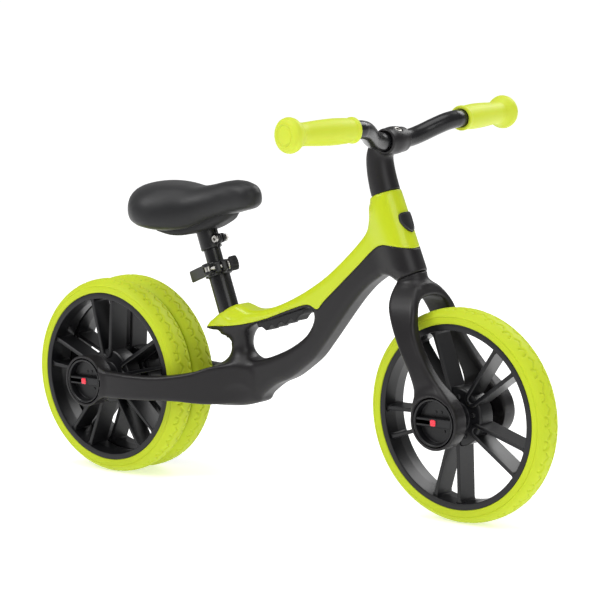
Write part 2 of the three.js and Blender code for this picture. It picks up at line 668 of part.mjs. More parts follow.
function addStem() {
  const start = HEAD_LENGTH + 0.5;
  const lower = turned([
    [0, start], [18.4, start], [17.4, 116], [16.8, 126], [14, 136], [10, 141], [0, 142],
  ], BOSS_FACETS, headMatrix);
  const barrelMatrix = at(BAR_CENTRE.x, 0, BAR_CENTRE.z);
  const clampBarrel = rod(15.4, -BAR_CLAMP_HALF, BAR_CLAMP_HALF, BOSS_FACETS, barrelMatrix);
  const arm = sideProfile(smoothShape([
    [147, 405], [144.5, 420], [145, 436], [151, 452], [163, 465], [178, 471], [191, 469], [195, 456],
    [186, 444], [180, 434], [180, 418], [182, 406], [165, 400],
  ]), 32, 7, 0, 1);
  const bore = rod(BAR_R + GAP, -30, 30, TUBE_FACETS, at(BAR_CENTRE.x, 0, BAR_CENTRE.z));
  const socket = rod(STEERER_R + GAP, start - 1, 124.4, TUBE_FACETS, headMatrix);
  const nutRoom = rod(8, 124, 133, TUBE_FACETS, headMatrix);
  const boltMatrix = along(BAR_CENTRE, BOLT_DIR);
  const boltWay = rod(3.3, -24, 24, SMALL_FACETS, boltMatrix);
  const headRoom = rod(6, 12.2, 24, SMALL_FACETS, boltMatrix);
  const nutPocket = rod(6.6, -30, -14.5, SMALL_FACETS, boltMatrix);
  const stem = lower.add(clampBarrel).add(arm).subtract(bore).subtract(socket).subtract(nutRoom)
    .subtract(boltWay).subtract(headRoom).subtract(nutPocket);
  add('stem', stem, 'satinBlack');

  const bolt = turned([
    [0, -20], [3, -20], [3, 12.5], [5.4, 12.5], [5.4, 16], [2.6, 16], [2.6, 13.8], [0, 13.8],
  ], SMALL_FACETS, boltMatrix);
  add('bar_bolt', bolt, 'steel');
  add('bar_nut', hexNut(5.8, -19.6, -14.8, boltMatrix), 'steel');
}

// One half of the bar's centreline, from the clamp to the end inside the grip.
function barHalf(side) {
  const slope = GRIP_END.clone().sub(GRIP_START).divideScalar(GRIP_END.y - GRIP_START.y);
  const straight = [86, 92, 98, 150, 207].map((y) => {
    const p = GRIP_START.clone().addScaledVector(slope, y - GRIP_START.y);
    return [p.x, y, p.z];
  });
  const bend = [[183, 14, 456], [183, 26, 456], [184.5, 38, 457.5], [190, 50, 462.5],
    [199, 63, 470], [205.5, 75, 474.8]];
  return [...bend, ...straight].map(([x, y, z]) => new THREE.Vector3(x, side * y, z));
}

function addBar() {
  const path = new THREE.CatmullRomCurve3([...barHalf(-1).reverse(), BAR_CENTRE, ...barHalf(1)]);
  const section = new THREE.Shape().absarc(0, 0, BAR_R, 0, 2 * Math.PI, false);
  section.holes.push(new THREE.Path().absarc(0, 0, BAR_R - TUBE_WALL, 0, 2 * Math.PI, true));
  const tube = toSolid(new THREE.ExtrudeGeometry(section, {
    steps: 32, curveSegments: 5, bevelEnabled: false, extrudePath: path,
  }));
  const boltHole = rod(3.3, -24, 24, SMALL_FACETS, along(BAR_CENTRE, BOLT_DIR));
  add('handlebar', tube.subtract(boltHole), 'steelBlack');
  for (const [name, side] of [['grip_right', -1], ['grip_left', 1]]) {
    const base = new THREE.Vector3(GRIP_START.x, side * GRIP_START.y, GRIP_START.z);
    const end = new THREE.Vector3(GRIP_END.x, side * GRIP_END.y, GRIP_END.z);
    const matrix = along(base, end.sub(base).normalize());
    add(name, turned([
      [0, 112], [16, 111.4], [20, 108], [21, 103.5], [20, 99], [16.5, 94], [13.8, 88], [13.6, 80],
      [15, 58], [15.6, 34], [15, 14], [14, 6.5], [15.6, 5], [15.6, 1.5], [14.4, 0], [11.4, 0],
      [11.4, 105.5], [0, 105.5],
    ], SMALL_FACETS, matrix), 'gripLime');
  }
}

// Assembly -------------------------------------------------------------------

addFrame();
add('carry_handle_grip', handleGrip(), 'softBlack');
add('seat_tube', pipe(SEAT_TUBE_R, POST_R + GAP, -70, 12, TUBE_FACETS, seatMatrix), 'steelBlack');
add('head_badge', headBadge(), 'softBlack');
addSeatClamp();
addSaddle();
addFork();
addStem();
addBar();
addWheel('front_wheel', FRONT_X, 0, 36.5, 36.5, FRONT_SPOKE_ANGLE, false);
addHubScrews();
addWheel('rear_wheel_right', REAR_X, -REAR_TRACK / 2, 18, 36.5, REAR_SPOKE_ANGLE, true);
addWheel('rear_wheel_left', REAR_X, REAR_TRACK / 2, 18, 36.5, REAR_SPOKE_ANGLE, false);
addAxleSet('front', FRONT_X, FRONT_BOSS_Y);
addAxleSet('rear', REAR_X, REAR_BOSS_Y);

export default bike;
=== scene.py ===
"""Looks of the balance bike: smooth moulded surfaces, foam tyres, saddle and metal small parts.

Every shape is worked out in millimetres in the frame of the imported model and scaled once, in new_piece.
"""

import bmesh
import bpy
import json
import numpy as np
from mathutils import Matrix, Vector


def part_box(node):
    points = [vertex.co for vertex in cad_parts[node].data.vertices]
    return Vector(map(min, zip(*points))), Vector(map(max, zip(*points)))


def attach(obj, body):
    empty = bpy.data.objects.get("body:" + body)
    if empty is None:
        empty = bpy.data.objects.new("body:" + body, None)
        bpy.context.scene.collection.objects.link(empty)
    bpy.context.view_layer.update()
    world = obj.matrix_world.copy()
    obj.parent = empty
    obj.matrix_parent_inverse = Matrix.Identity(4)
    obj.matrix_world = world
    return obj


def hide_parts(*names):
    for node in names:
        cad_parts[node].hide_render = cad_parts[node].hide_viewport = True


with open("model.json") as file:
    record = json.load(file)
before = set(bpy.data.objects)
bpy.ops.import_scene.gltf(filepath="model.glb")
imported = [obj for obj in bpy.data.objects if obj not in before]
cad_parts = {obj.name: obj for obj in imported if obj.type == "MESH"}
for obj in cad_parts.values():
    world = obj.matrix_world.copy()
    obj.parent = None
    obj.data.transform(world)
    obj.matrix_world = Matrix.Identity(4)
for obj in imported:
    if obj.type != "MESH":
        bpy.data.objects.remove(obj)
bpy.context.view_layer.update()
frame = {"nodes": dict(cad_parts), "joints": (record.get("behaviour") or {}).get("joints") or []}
scene = bpy.context.scene

MM = 0.001
TURN = 2 * np.pi


def centre(node):
    """Middle of a CAD node's box, in millimetres."""
    low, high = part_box(node)
    return (np.array(low) + np.array(high)) / 2 / MM


def extent(node):
    """Size of a CAD node's box, in millimetres."""
    low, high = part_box(node)
    return (np.array(high) - np.array(low)) / MM


def joint(name):
    """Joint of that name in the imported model."""
    return next(j for j in frame["joints"] if j["name"] == name)


# Driving places and sizes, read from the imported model
FRONT_AXLE = centre("front_axle")
REAR_AXLE = centre("rear_axle")
AXLE_Z = FRONT_AXLE[2]
TYRE_R = extent("front_wheel_tyre")[2] / 2
TYRE_HALF = extent("front_wheel_tyre")[1] / 2
REAR_Y = centre("rear_wheel_left_tyre")[1]
FRONT_FACE = extent("front_axle_cap")[1] / 2 + centre("front_axle_cap")[1] - 0.5
REAR_FACE = extent("rear_axle_cap")[1] / 2 + centre("rear_axle_cap")[1] - 0.5
HEAD_BASE = np.array(joint("steering")["pos_m"]) / MM
HEAD_DIR = np.array(joint("steering")["axis"])
SEAT_DIR = np.array(joint("saddle_height")["axis"])
LEVER_PIVOT = np.array(joint("clamp_lever_turn")["pos_m"]) / MM
SEAT_BASE = np.array([-106.0, 0.0, 271.5])
HEAD_LENGTH = 104.0
HEAD_R = 19.2
BAR_CENTRE = np.array([183.0, 0.0, 456.0])
BAR_R = 11.0
BOLT_DIR = np.array([0.45, 0.0, 0.89]) / np.hypot(0.45, 0.89)
FORWARD, SIDE, UP = np.eye(3)


# Surfaces ---------------------------------------------------------------------


def grid_quads(rows, cols, wrap_rows=False, wrap_cols=False):
    """Quads between neighbouring points of a rows x cols grid, joined round where it wraps."""
    index = np.arange(rows * cols).reshape(rows, cols)
    if wrap_rows:
        index = np.vstack([index, index[:1]])
    if wrap_cols:
        index = np.hstack([index, index[:, :1]])
    corners = [index[:-1, :-1], index[:-1, 1:], index[1:, 1:], index[1:, :-1]]
    return np.stack([c.ravel() for c in corners], axis=1)


def rounded(points, radius, steps=4):
    """Open outline with each inner corner replaced by a quadratic curve cut in by up to radius."""
    points = np.asarray(points, float)
    t = np.linspace(0, 1, steps + 1)[:, None]
    out = [points[:1]]
    for before, corner, after in zip(points[:-2], points[1:-1], points[2:]):
        reach = [min(radius, 0.45 * np.linalg.norm(p - corner)) for p in (before, after)]
        a = corner + (before - corner) / np.linalg.norm(before - corner) * reach[0]
        b = corner + (after - corner) / np.linalg.norm(after - corner) * reach[1]
        out.append((1 - t) ** 2 * a + 2 * t * (1 - t) * corner + t**2 * b)
    out.append(points[-1:])
    return np.vstack(out)


def rounded_loop(points, radius, steps):
    """Closed outline with every corner rounded."""
    points = np.asarray(points, float)
    padded = np.vstack([points[-1:], points, points[:1]])
    return rounded(padded, radius, steps)[1:-1]


def smooth_curve(points, per_span, closed=False):
    """Catmull-Rom curve: each span is the cubic whose end slopes are half the chord of its neighbours."""
    p = np.asarray(points, float)
    if closed:
        p = np.vstack([p[-1:], p, p[:2]])
    else:
        p = np.vstack([2 * p[:1] - p[1:2], p, 2 * p[-1:] - p[-2:-1]])
    t = np.linspace(0, 1, per_span, endpoint=False)[None, :, None]
    a, b, c, d = (p[i : len(p) - 3 + i, None, :] for i in range(4))
    cubic = b + 0.5 * t * (c - a) + t**2 * (a - 2.5 * b + 2 * c - 0.5 * d)
    cubic = cubic + t**3 * (-0.5 * a + 1.5 * b - 1.5 * c + 0.5 * d)
    curve = cubic.reshape(-1, p.shape[1])
    return curve if closed else np.vstack([curve, p[-2:-1]])


def axes_for(direction):
    """Two unit vectors across a direction: the first as near +X as it can be, the second squared to it."""
    direction = np.asarray(direction, float) / np.linalg.norm(direction)
    guide = FORWARD if abs(direction[0]) < 0.9 else UP
    across = guide - direction * direction.dot(guide)
    across /= np.linalg.norm(across)
    return across, np.cross(direction, across)


def hexagon(angle):
    """Distance to a hexagon's side over its corner radius."""
    return np.cos(np.pi / 6) / np.cos(angle % (np.pi / 3) - np.pi / 6)


def ribbed(angle):
    """Twelve flat-topped grip ribs, from a steep wave of the angle."""
    return 1 + 0.08 * np.tanh(2.5 * np.cos(12 * angle))


def turned(profile, base, direction, segments, section=None):
    """Surface of revolution: (radius, height) turned about the line through base along direction.

    A third column says how far each row follows section(angle) in place of a circle."""
    profile = np.asarray(profile, float)
    across, third = axes_for(direction)
    angle = np.linspace(0, TURN, segments, endpoint=False)
    ring = np.cos(angle)[:, None] * across + np.sin(angle)[:, None] * third
    radius = profile[:, 0, None, None]
    if section:
        radius = radius * (1 + profile[:, 2, None, None] * (section(angle)[None, :, None] - 1))
    points = base + profile[:, 1, None, None] * np.asarray(direction) + radius * ring
    faces = grid_quads(len(profile), segments, wrap_cols=True)
    if profile[0, 0] > 0:
        faces = grid_quads(len(profile), segments, wrap_rows=True, wrap_cols=True)
    return points.reshape(-1, 3), faces


def rod(radius, start, end, edge):
    """Round bar from start to end with softened ends."""
    start, end = np.asarray(start, float), np.asarray(end, float)
    length = np.linalg.norm(end - start)
    profile = rounded([[0, 0], [radius, 0], [radius, length], [0, length]], edge)
    return turned(profile, start, (end - start) / length, 40)


def socket_bolt(base, direction, head_r, seat, top, socket_r, shank_r, end):
    """Socket-head bolt: head from seat to top with a hexagonal socket, and a shank down to end."""
    floor = top - 2.6
    profile = [[0, floor, 1], [socket_r, floor, 1], [socket_r, top - 0.3, 1], [socket_r + 0.5, top, 0],
               [head_r - 0.8, top, 0], [head_r - 0.2, top - 0.3, 0], [head_r, top - 1.0, 0],
               [head_r, seat, 0], [shank_r, seat, 0], [shank_r, end, 0], [0, end, 0]]
    return turned(profile, np.asarray(base, float), direction, 48, hexagon)


def swept(path, radius, segments):
    """Tube: a circle carried along path, squared to its tangent and closed by flat ends."""
    tangent = np.gradient(path, axis=0)
    tangent /= np.linalg.norm(tangent, axis=1)[:, None]
    across = np.cross(tangent, UP)
    across /= np.linalg.norm(across, axis=1)[:, None]
    third = np.cross(across, tangent)
    angle = np.linspace(0, TURN, segments, endpoint=False)[None, :, None]
    rings = path[:, None] + radius * (np.cos(angle) * across[:, None] + np.sin(angle) * third[:, None])
    ends = [np.repeat(path[i][None, None], segments, axis=1) for i in (0, -1)]
    rings = np.concatenate([ends[0], rings, ends[1]])
    return rings.reshape(-1, 3), grid_quads(len(rings), segments, wrap_cols=True)


def prism(outline, origin, across, up, depth, edge):
    """Plate: outline in (across, up) carried through depth on both sides of origin, with chamfered rims.

    The chamfer insets the outline along its mean normal at each corner."""
    outline = np.asarray(outline, float)
    before, after = np.roll(outline, 1, axis=0), np.roll(outline, -1, axis=0)
    along = after - before
    normal = np.stack([along[:, 1], -along[:, 0]], axis=1)
    normal /= np.linalg.norm(normal, axis=1)[:, None] + 1e-9
    area = np.sum(outline[:, 0] * after[:, 1] - outline[:, 1] * after[:, 0])
    inset = outline - normal * edge * np.sign(area)
    through = np.cross(across, up)
    half = depth / 2
    levels = [(inset, -half), (outline, edge - half), (outline, half - edge), (inset, half)]
    rings = [origin + o[:, :1] * across + o[:, 1:] * up + h * through for o, h in levels]
    count = len(outline)
    sides = grid_quads(4, count, wrap_cols=True)
    caps = [list(range(count)), list(range(4 * count - 1, 3 * count - 1, -1))]
    return np.vstack(rings), sides.tolist() + caps


# Solid fields -----------------------------------------------------------------


def outline_distance(a, b, outline):
    """Signed distance in a plane from the points (a, b) to a closed outline, negative inside.

    It is the least distance to any edge, with the sign from how many edges a ray crosses."""
    p = np.asarray(outline, float)
    least = np.full(np.broadcast_shapes(np.shape(a), np.shape(b)), 1e12)
    inside = np.zeros(least.shape, bool)
    for (ax, ay), (bx, by) in zip(p, np.roll(p, -1, axis=0)):
        ex, ey = bx - ax, by - ay
        t = np.clip(((a - ax) * ex + (b - ay) * ey) / (ex * ex + ey * ey + 1e-12), 0, 1)
        least = np.minimum(least, (a - ax - t * ex) ** 2 + (b - ay - t * ey) ** 2)
        if ey:
            inside ^= ((ay > b) != (by > b)) & (a < ax + (b - ay) * ex / ey)
    return np.where(inside, -1, 1) * np.sqrt(least)


def blended(a, b, width):
    """Union of two fields whose meeting is filled by a fillet about width across."""
    h = np.maximum(width - np.abs(a - b), 0) / width
    return np.minimum(a, b) - h * h * width / 4


def shared(a, b, radius):
    """Intersection of two fields with its outer edge rounded to radius."""
    outside = np.hypot(np.maximum(a + radius, 0), np.maximum(b + radius, 0))
    return np.minimum(np.maximum(a, b) + radius, 0) + outside - radius


def axis_distance(x, y, z, base, direction):
    """Distance from the line through base, and distance along it."""
    dx, dy, dz = x - base[0], y - base[1], z - base[2]
    along = dx * direction[0] + dy * direction[1] + dz * direction[2]
    square = dx * dx + dy * dy + dz * dz - along * along
    return np.sqrt(np.maximum(square, 0)), along


def surface_of(field, low, high, step):
    """Surface where a field is zero, found on a grid of cells.

    Each cell that the surface crosses gets one point, the mean of the crossings on its edges, and each
    crossed grid edge gets the quad of its four cells. The points are then moved onto the zero surface."""
    axes = [np.arange(l, h + step, step) for l, h in zip(low, high)]
    values = field(axes[0][:, None, None], axes[1][None, :, None], axes[2][None, None, :])
    inside = values < 0
    nx, ny, nz = inside.shape
    corners = [inside[i : nx - 1 + i, j : ny - 1 + j, k : nz - 1 + k]
               for i in (0, 1) for j in (0, 1) for k in (0, 1)]
    total = sum(c.astype(np.int8) for c in corners)
    cells = np.argwhere((total > 0) & (total < 8))
    number = np.full((nx - 1, ny - 1, nz - 1), -1, np.int64)
    number[tuple(cells.T)] = np.arange(len(cells))
    sums, counts = np.zeros((len(cells), 3)), np.zeros(len(cells))
    for axis in range(3):
        others = [a for a in range(3) if a != axis]
        for u in (0, 1):
            for v in (0, 1):
                shift = np.zeros(3, int)
                shift[others] = (u, v)
                a = cells + shift
                b = a.copy()
                b[:, axis] += 1
                fa, fb = values[tuple(a.T)], values[tuple(b.T)]
                crossed = (fa < 0) != (fb < 0)
                t = np.where(crossed, fa / np.where(crossed, fa - fb, 1), 0)
                spot = a.astype(float)
                spot[:, axis] += t
                sums[crossed] += spot[crossed]
                counts[crossed] += 1
    points = sums / counts[:, None] * step + np.array([a[0] for a in axes])
    faces = []
    for axis in range(3):
        low_side = [slice(None)] * 3
        high_side = [slice(None)] * 3
        low_side[axis], high_side[axis] = slice(0, -1), slice(1, None)
        change = inside[tuple(low_side)] != inside[tuple(high_side)]
        edges = np.argwhere(change)
        o1, o2 = [(1, 2), (2, 0), (0, 1)][axis]
        edges = edges[(edges[:, o1] > 0) & (edges[:, o2] > 0)]
        quad = []
        for u, v in ((-1, -1), (0, -1), (0, 0), (-1, 0)):
            cell = edges.copy()
            cell[:, o1] += u
            cell[:, o2] += v
            quad.append(number[tuple(np.minimum(cell, [nx - 2, ny - 2, nz - 2]).T)])
        quad = np.stack(quad, axis=1)
        outward = inside[tuple(edges.T)]
        quad[~outward] = quad[~outward][:, ::-1]
        faces.append(quad)
    faces = np.vstack(faces)
    faces = faces[(faces >= 0).all(axis=1)]
    for _ in range(3):
        points = onto_surface(field, points, step)
    return points, faces


def onto_surface(field, points, step):
    """One Newton step: each point moves down the field's slope by its value, at most half a grid step."""
    x, y, z = points.T
    value = field(x, y, z)
    d = 0.05
    slope = np.stack([field(x + d, y, z) - field(x - d, y, z), field(x, y + d, z) - field(x, y - d, z),
                      field(x, y, z + d) - field(x, y, z - d)], axis=1) / (2 * d)
    move = slope * (value / np.maximum((slope**2).sum(axis=1), 0.2))[:, None]
    length = np.linalg.norm(move, axis=1)[:, None]
    return points - move * np.minimum(1, 0.5 * step / np.maximum(length, 1e-9))


def kept_where(points, faces, measure):
    """Part of a surface of quads where measure(x, y, z) is positive, cut exactly along its zero line.

    A triangle with one corner kept gives one triangle, with two kept gives two, and the points on the
    cut are shared by the triangles on both sides of each edge."""
    tris = np.vstack([faces[:, [0, 1, 2]], faces[:, [0, 2, 3]]])
    value = measure(*points.T)
    keep = value > 0
    number = keep[tris].sum(axis=1)
    whole = tris[number == 3]
    one, two = tris[number == 1], tris[number == 2]

    def lead(t, flag):
        first = np.argmax(keep[t] == flag, axis=1)
        rows = np.arange(len(t))
        return t[rows, first], t[rows, (first + 1) % 3], t[rows, (first + 2) % 3]

    a1, b1, c1 = lead(one, True)
    a2, b2, c2 = lead(two, False)
    pairs = np.sort(np.vstack([np.c_[a1, b1], np.c_[a1, c1], np.c_[a2, b2], np.c_[a2, c2]]), axis=1)
    edges, which = np.unique(pairs, axis=0, return_inverse=True)
    which = which.ravel()
    v0, v1 = value[edges[:, 0]], value[edges[:, 1]]
    cut = points[edges[:, 0]] + (points[edges[:, 1]] - points[edges[:, 0]]) * (v0 / (v0 - v1))[:, None]
    n, m, base = len(one), len(two), len(points)
    ab1, ac1 = which[:n] + base, which[n : 2 * n] + base
    ab2, ac2 = which[2 * n : 2 * n + m] + base, which[2 * n + m :] + base
    new = np.vstack([whole, np.c_[a1, ab1, ac1], np.c_[ab2, b2, c2], np.c_[ab2, c2, ac2]])
    every = np.vstack([points, cut])
    used, renumbered = np.unique(new, return_inverse=True)
    return every[used], renumbered.reshape(-1, 3)


# Pieces -----------------------------------------------------------------------


def add_object(name, data):
    """New object that holds data, linked to the scene."""
    added = bpy.data.objects.new(name, data)
    scene.collection.objects.link(added)
    return added


def new_piece(name, surfaces, material, body, replaces, modifiers=(), sharp=True):
    """Joins surfaces into one named object in metres, closes its poles and turns its faces outwards."""
    points, faces = [], []
    for p, f in surfaces:
        shift = sum(len(q) for q in points)
        faces += [[i + shift for i in face] for face in (f.tolist() if hasattr(f, "tolist") else f)]
        points.append(p)
    mesh = bpy.data.meshes.new(name)
    mesh.from_pydata((np.vstack(points) * MM).tolist(), [], faces)
    work = bmesh.new()
    work.from_mesh(mesh)
    bmesh.ops.remove_doubles(work, verts=work.verts, dist=2e-6)
    bmesh.ops.dissolve_degenerate(work, dist=1e-7, edges=work.edges)
    bmesh.ops.recalc_face_normals(work, faces=work.faces)
    work.to_mesh(mesh)
    work.free()
    mesh.polygons.foreach_set("use_smooth", np.ones(len(mesh.polygons), bool))
    piece = add_object(name, mesh)
    mesh.materials.append(material)
    for kind, settings in modifiers:
        modifier = piece.modifiers.new(kind.title(), kind)
        for key, value in settings.items():
            setattr(modifier, key, value)
    if sharp:
        mesh.set_sharp_from_angle(angle=np.radians(38))
    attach(piece, body)
    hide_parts(*replaces)
    return piece


def wall(thickness):
    """Solidify inwards by thickness in millimetres."""
    return ("SOLIDIFY", {"thickness": thickness * MM, "offset": -1.0, "use_even_offset": False})


def bevel(width):
    """Rounded edges of width in millimetres on sharp edges."""
    return ("BEVEL", {"width": width * MM, "segments": 2, "limit_method": "ANGLE",
                      "angle_limit": np.radians(40), "use_clamp_overlap": True})


# Materials --------------------------------------------------------------------


GLOSS_SPREAD = 0.06


def node_material(name, colour, second, roughness, grain, depth, mottle=30.0, metallic=0.0, coat=0.0,
                  sheen=0.0, scatter=0.0):
    """Principled finish: two close colours mixed by soft noise, fine grain as bump, uneven gloss."""
    material = bpy.data.materials.new(name)
    material.use_nodes = True
    tree = material.node_tree
    shader = tree.nodes["Principled BSDF"]
    place = tree.nodes.new("ShaderNodeTexCoord")
    soft, fine = (tree.nodes.new("ShaderNodeTexNoise") for _ in range(2))
    for noise, scale, detail in ((soft, mottle, 4), (fine, grain, 3)):
        noise.inputs["Scale"].default_value = scale
        noise.inputs["Detail"].default_value = detail
    mix = tree.nodes.new("ShaderNodeMix")
    mix.data_type = "RGBA"
    mix.inputs["A"].default_value = (*colour, 1)
    mix.inputs["B"].default_value = (*second, 1)
    gloss = tree.nodes.new("ShaderNodeMapRange")
    gloss.inputs["To Min"].default_value = roughness - GLOSS_SPREAD
    gloss.inputs["To Max"].default_value = roughness + GLOSS_SPREAD
    bump = tree.nodes.new("ShaderNodeBump")
    bump.inputs["Strength"].default_value = 0.5
    bump.inputs["Distance"].default_value = depth * MM
    link = tree.links.new
    for noise in (soft, fine):
        link(place.outputs["Object"], noise.inputs["Vector"])
    link(soft.outputs["Fac"], mix.inputs["Factor"])
    link(mix.outputs["Result"], shader.inputs["Base Color"])
    link(soft.outputs["Fac"], gloss.inputs["Value"])
    link(gloss.outputs["Result"], shader.inputs["Roughness"])
    link(fine.outputs["Fac"], bump.inputs["Height"])
    link(bump.outputs["Normal"], shader.inputs["Normal"])
    for socket, value in (("Metallic", metallic), ("Specular IOR Level", 0.32), ("Coat Weight", coat),
                          ("Sheen Weight", sheen), ("Subsurface Weight", scatter),
                          ("Subsurface Scale", 0.004)):
        shader.inputs[socket].default_value = value
    return material


MOULDED_BLACK = node_material("moulded_black", (0.006, 0.005, 0.006), (0.009, 0.008, 0.009), 0.4, 1600, 0.05)
WHEEL_BLACK = node_material("wheel_black", (0.005, 0.005, 0.006), (0.008, 0.008, 0.009), 0.33, 1500, 0.05)
COVER_LIME = node_material("cover_lime", (0.45, 0.545, 0.007), (0.49, 0.58, 0.010), 0.34, 1800, 0.03,
                           coat=0.15, scatter=0.05)
FOAM_LIME = node_material("foam_lime", (0.45, 0.55, 0.010), (0.50, 0.59, 0.014), 0.58, 900, 0.12,
                          mottle=60, scatter=0.06)
GRIP_LIME = node_material("grip_lime", (0.52, 0.60, 0.03), (0.56, 0.64, 0.04), 0.5, 1400, 0.08,
                          mottle=50, scatter=0.08)
TUBE_BLACK = node_material("tube_black", (0.005, 0.005, 0.006), (0.008, 0.008, 0.009), 0.28, 2200, 0.02,
                           mottle=80, coat=0.1)
CLAMP_BLACK = node_material("clamp_black", (0.010, 0.010, 0.011), (0.014, 0.014, 0.015), 0.33, 1800, 0.04)
INSERT_BLACK = node_material("insert_black", (0.009, 0.009, 0.010), (0.013, 0.013, 0.014), 0.6, 1200, 0.1)
BRIGHT_STEEL = node_material("bright_steel", (0.34, 0.33, 0.31), (0.44, 0.43, 0.41), 0.3, 3000, 0.01,
                             mottle=200, metallic=1.0)
SADDLE_SKIN = node_material("saddle_skin", (0.006, 0.006, 0.007), (0.010, 0.010, 0.011), 0.45, 1100, 0.1,
                            mottle=40, sheen=0.08)
BUTTON_RED = node_material("button_red", (0.85, 0.02, 0.045), (0.92, 0.03, 0.06), 0.3, 1800, 0.02,
                           coat=0.3, scatter=0.1)

# The CAD pieces kept as they are: the two bushes are plastic, and all the rest are steel
KEPT_STEEL = ["steerer_tube", "steerer_bolt", "steerer_nut", "bar_nut", "front_axle", "rear_axle",
              "front_button_spring", "rear_button_spring"]
KEPT_STEEL += [f"{wheel}_bearing_{end}" for wheel in ("front_wheel", "rear_wheel_right", "rear_wheel_left")
               for end in ("inner", "outer")]
for finish, kept in ((BRIGHT_STEEL, KEPT_STEEL), (INSERT_BLACK, ["lower_bush", "upper_bush"])):
    for node in kept:
        frame["nodes"][node].data.materials.clear()
        frame["nodes"][node].data.materials.append(finish)


# Frame and top cover ----------------------------------------------------------

BEAM = np.vstack([
    smooth_curve([[-119, 209], [-112, 216], [-90, 229], [-70, 239], [-60, 238], [-40, 234], [-4, 241],
                  [38, 259], [76, 281], [105, 303], [131, 326], [147, 343], [154, 358], [158, 372]], 4),
    [[172, 380], [206, 300]],
    smooth_curve([[171, 293], [147, 277], [124, 255], [94, 220], [77, 200], [59, 180], [38, 164],
                  [18, 151], [-5, 141], [-26, 126], [-34, 116], [-52, 112], [-87, 108], [-123, 107],
                  [-130, 118], [-131, 140], [-124, 203]], 4),
])
HANDLE_HOLE = smooth_curve([[-150, 138], [-125, 146], [-100, 157], [-70, 164], [-45, 168], [-20, 174],
                            [0, 181], [22, 191], [44, 205], [56, 218], [62, 231], [60, 241], [50, 243],
                            [31, 237], [10, 230], [-10, 223], [-30, 218], [-48, 212], [-75, 206],
                            [-110, 203], [-150, 203]], 4, closed=True)
COLUMN_BASE = np.array([-68.0, 0.0, 150.0])
COLUMN_DIR = np.array([-0.03, 0.0, 1.0]) / np.hypot(0.03, 1.0)
COLUMN_R = 14.0
COLUMN_LENGTH = 62.0
COVER_EDGE = smooth_curve([[-140, 206], [-125, 207], [-102, 209], [-55, 215], [-16, 225], [20, 238],
                           [47, 247], [59, 248], [71, 244], [81, 254], [110, 279], [139, 304],
                           [162, 324], [176, 330], [189, 331], [219, 327], [240, 325]], 6)
STAY_PLAN = rounded_loop([[-34, -20], [-34, 13], [-52, 16], [-80, 33], [-110, 50], [-140, 62], [-180, 73],
                          [-220, 79], [-290, 80], [-290, 66], [-230, 66], [-190, 60], [-160, 49],
                          [-135, 36], [-112, 20], [-104, -20]], 25, 5)
STAY_SIDE = rounded_loop([[-300, 146], [-247, 146], [-197, 144], [-166, 144], [-134, 148], [-112, 153],
                          [-92, 161], [-60, 165], [-36, 156], [-40, 128], [-48, 117], [-66, 112],
                          [-100, 110], [-140, 114], [-183, 112], [-224, 111], [-300, 111]], 20, 4)
FRAME_HALF = 17.0
FRAME_EDGE = 8.0
BOSS_R = 33.5
RECESS_R = 30.2
TYRE_ROOM = 4.0


def boss_field(x, y, z, axle, face, field, fillet):
    """Field with a recessed round boss 21 mm deep added on both sides, its foot filled by a fillet."""
    radius = np.hypot(x - axle[0], z - axle[2])
    block = shared(radius - BOSS_R + 0.5, np.abs(np.abs(y) - face + 11) - 10.3, 1.5)
    joined = blended(field, block, fillet)
    recess = np.maximum(radius - RECESS_R - 0.4, face - 12.8 - np.abs(y))
    return np.maximum(joined, -recess)


def frame_field(x, y, z):
    """Frame and cover as one form.

    The beam is its side outline less the carry opening, given depth with rounded edges; the head tube,
    seat collar, wishbone stays, round column and wheel bosses are joined to it with fillets, and the
    tyres' room and the seat bore are taken out."""
    side = np.maximum(outline_distance(x, z, BEAM), -outline_distance(x, z, HANDLE_HOLE))
    body = shared(side, np.abs(y) - FRAME_HALF, FRAME_EDGE)
    around, up = axis_distance(x, y, z, HEAD_BASE, HEAD_DIR)
    head = shared(around - HEAD_R + 0.004 * (HEAD_LENGTH - up), np.abs(up - 52.2) - 51.6, 1.2)
    body = blended(body, head, 22)
    around, up = axis_distance(x, y, z, SEAT_BASE, SEAT_DIR)
    rim = (z - 197 - (x + 140) * 0.569) * 0.87
    collar = shared(shared(around - 17.2, rim, 1.5), np.maximum(up, -72 - up), 1.5)
    body = blended(body, collar, 7)
    stays = shared(outline_distance(x, np.abs(y), STAY_PLAN), outline_distance(x, z, STAY_SIDE), 4)
    body = blended(body, stays, 12)
    beside, along = axis_distance(x, y, z, COLUMN_BASE, COLUMN_DIR)
    column = np.maximum(beside - COLUMN_R, np.maximum(-along, along - COLUMN_LENGTH))
    body = blended(body, column, 22)
    body = boss_field(x, y, z, REAR_AXLE, REAR_FACE, body, 10)
    wheel_room = np.hypot(x - REAR_AXLE[0], z - AXLE_Z) - TYRE_R - TYRE_ROOM
    body = shared(body, -np.maximum(wheel_room, np.abs(y) - 41), 2)
    post_room = np.maximum(around - 11.5, -87 - up)
    return np.maximum(body, -np.minimum(np.maximum(around - 14.2, -70 - up), post_room))


def above_parting(x, y, z):
    """Height above the cover's lower edge, which is a curve in x."""
    return z - np.interp(x, COVER_EDGE[:, 0], COVER_EDGE[:, 1])


def boss_rings(axle, face):
    """Crisp ring round each knob: an L-shaped profile turned about the axle on both sides."""
    rings = []
    for side in (-1, 1):
        profile = rounded_loop([[RECESS_R, 0], [BOSS_R, 0], [BOSS_R, -21.5], [BOSS_R - 8, -21.5],
                                [BOSS_R - 8, -19], [BOSS_R - 2, -17], [RECESS_R, -12.5]], 0.9, 3)
        base = np.array([axle[0], side * face, AXLE_Z])
        rings.append(turned(profile, base, side * SIDE, 96))
    return rings


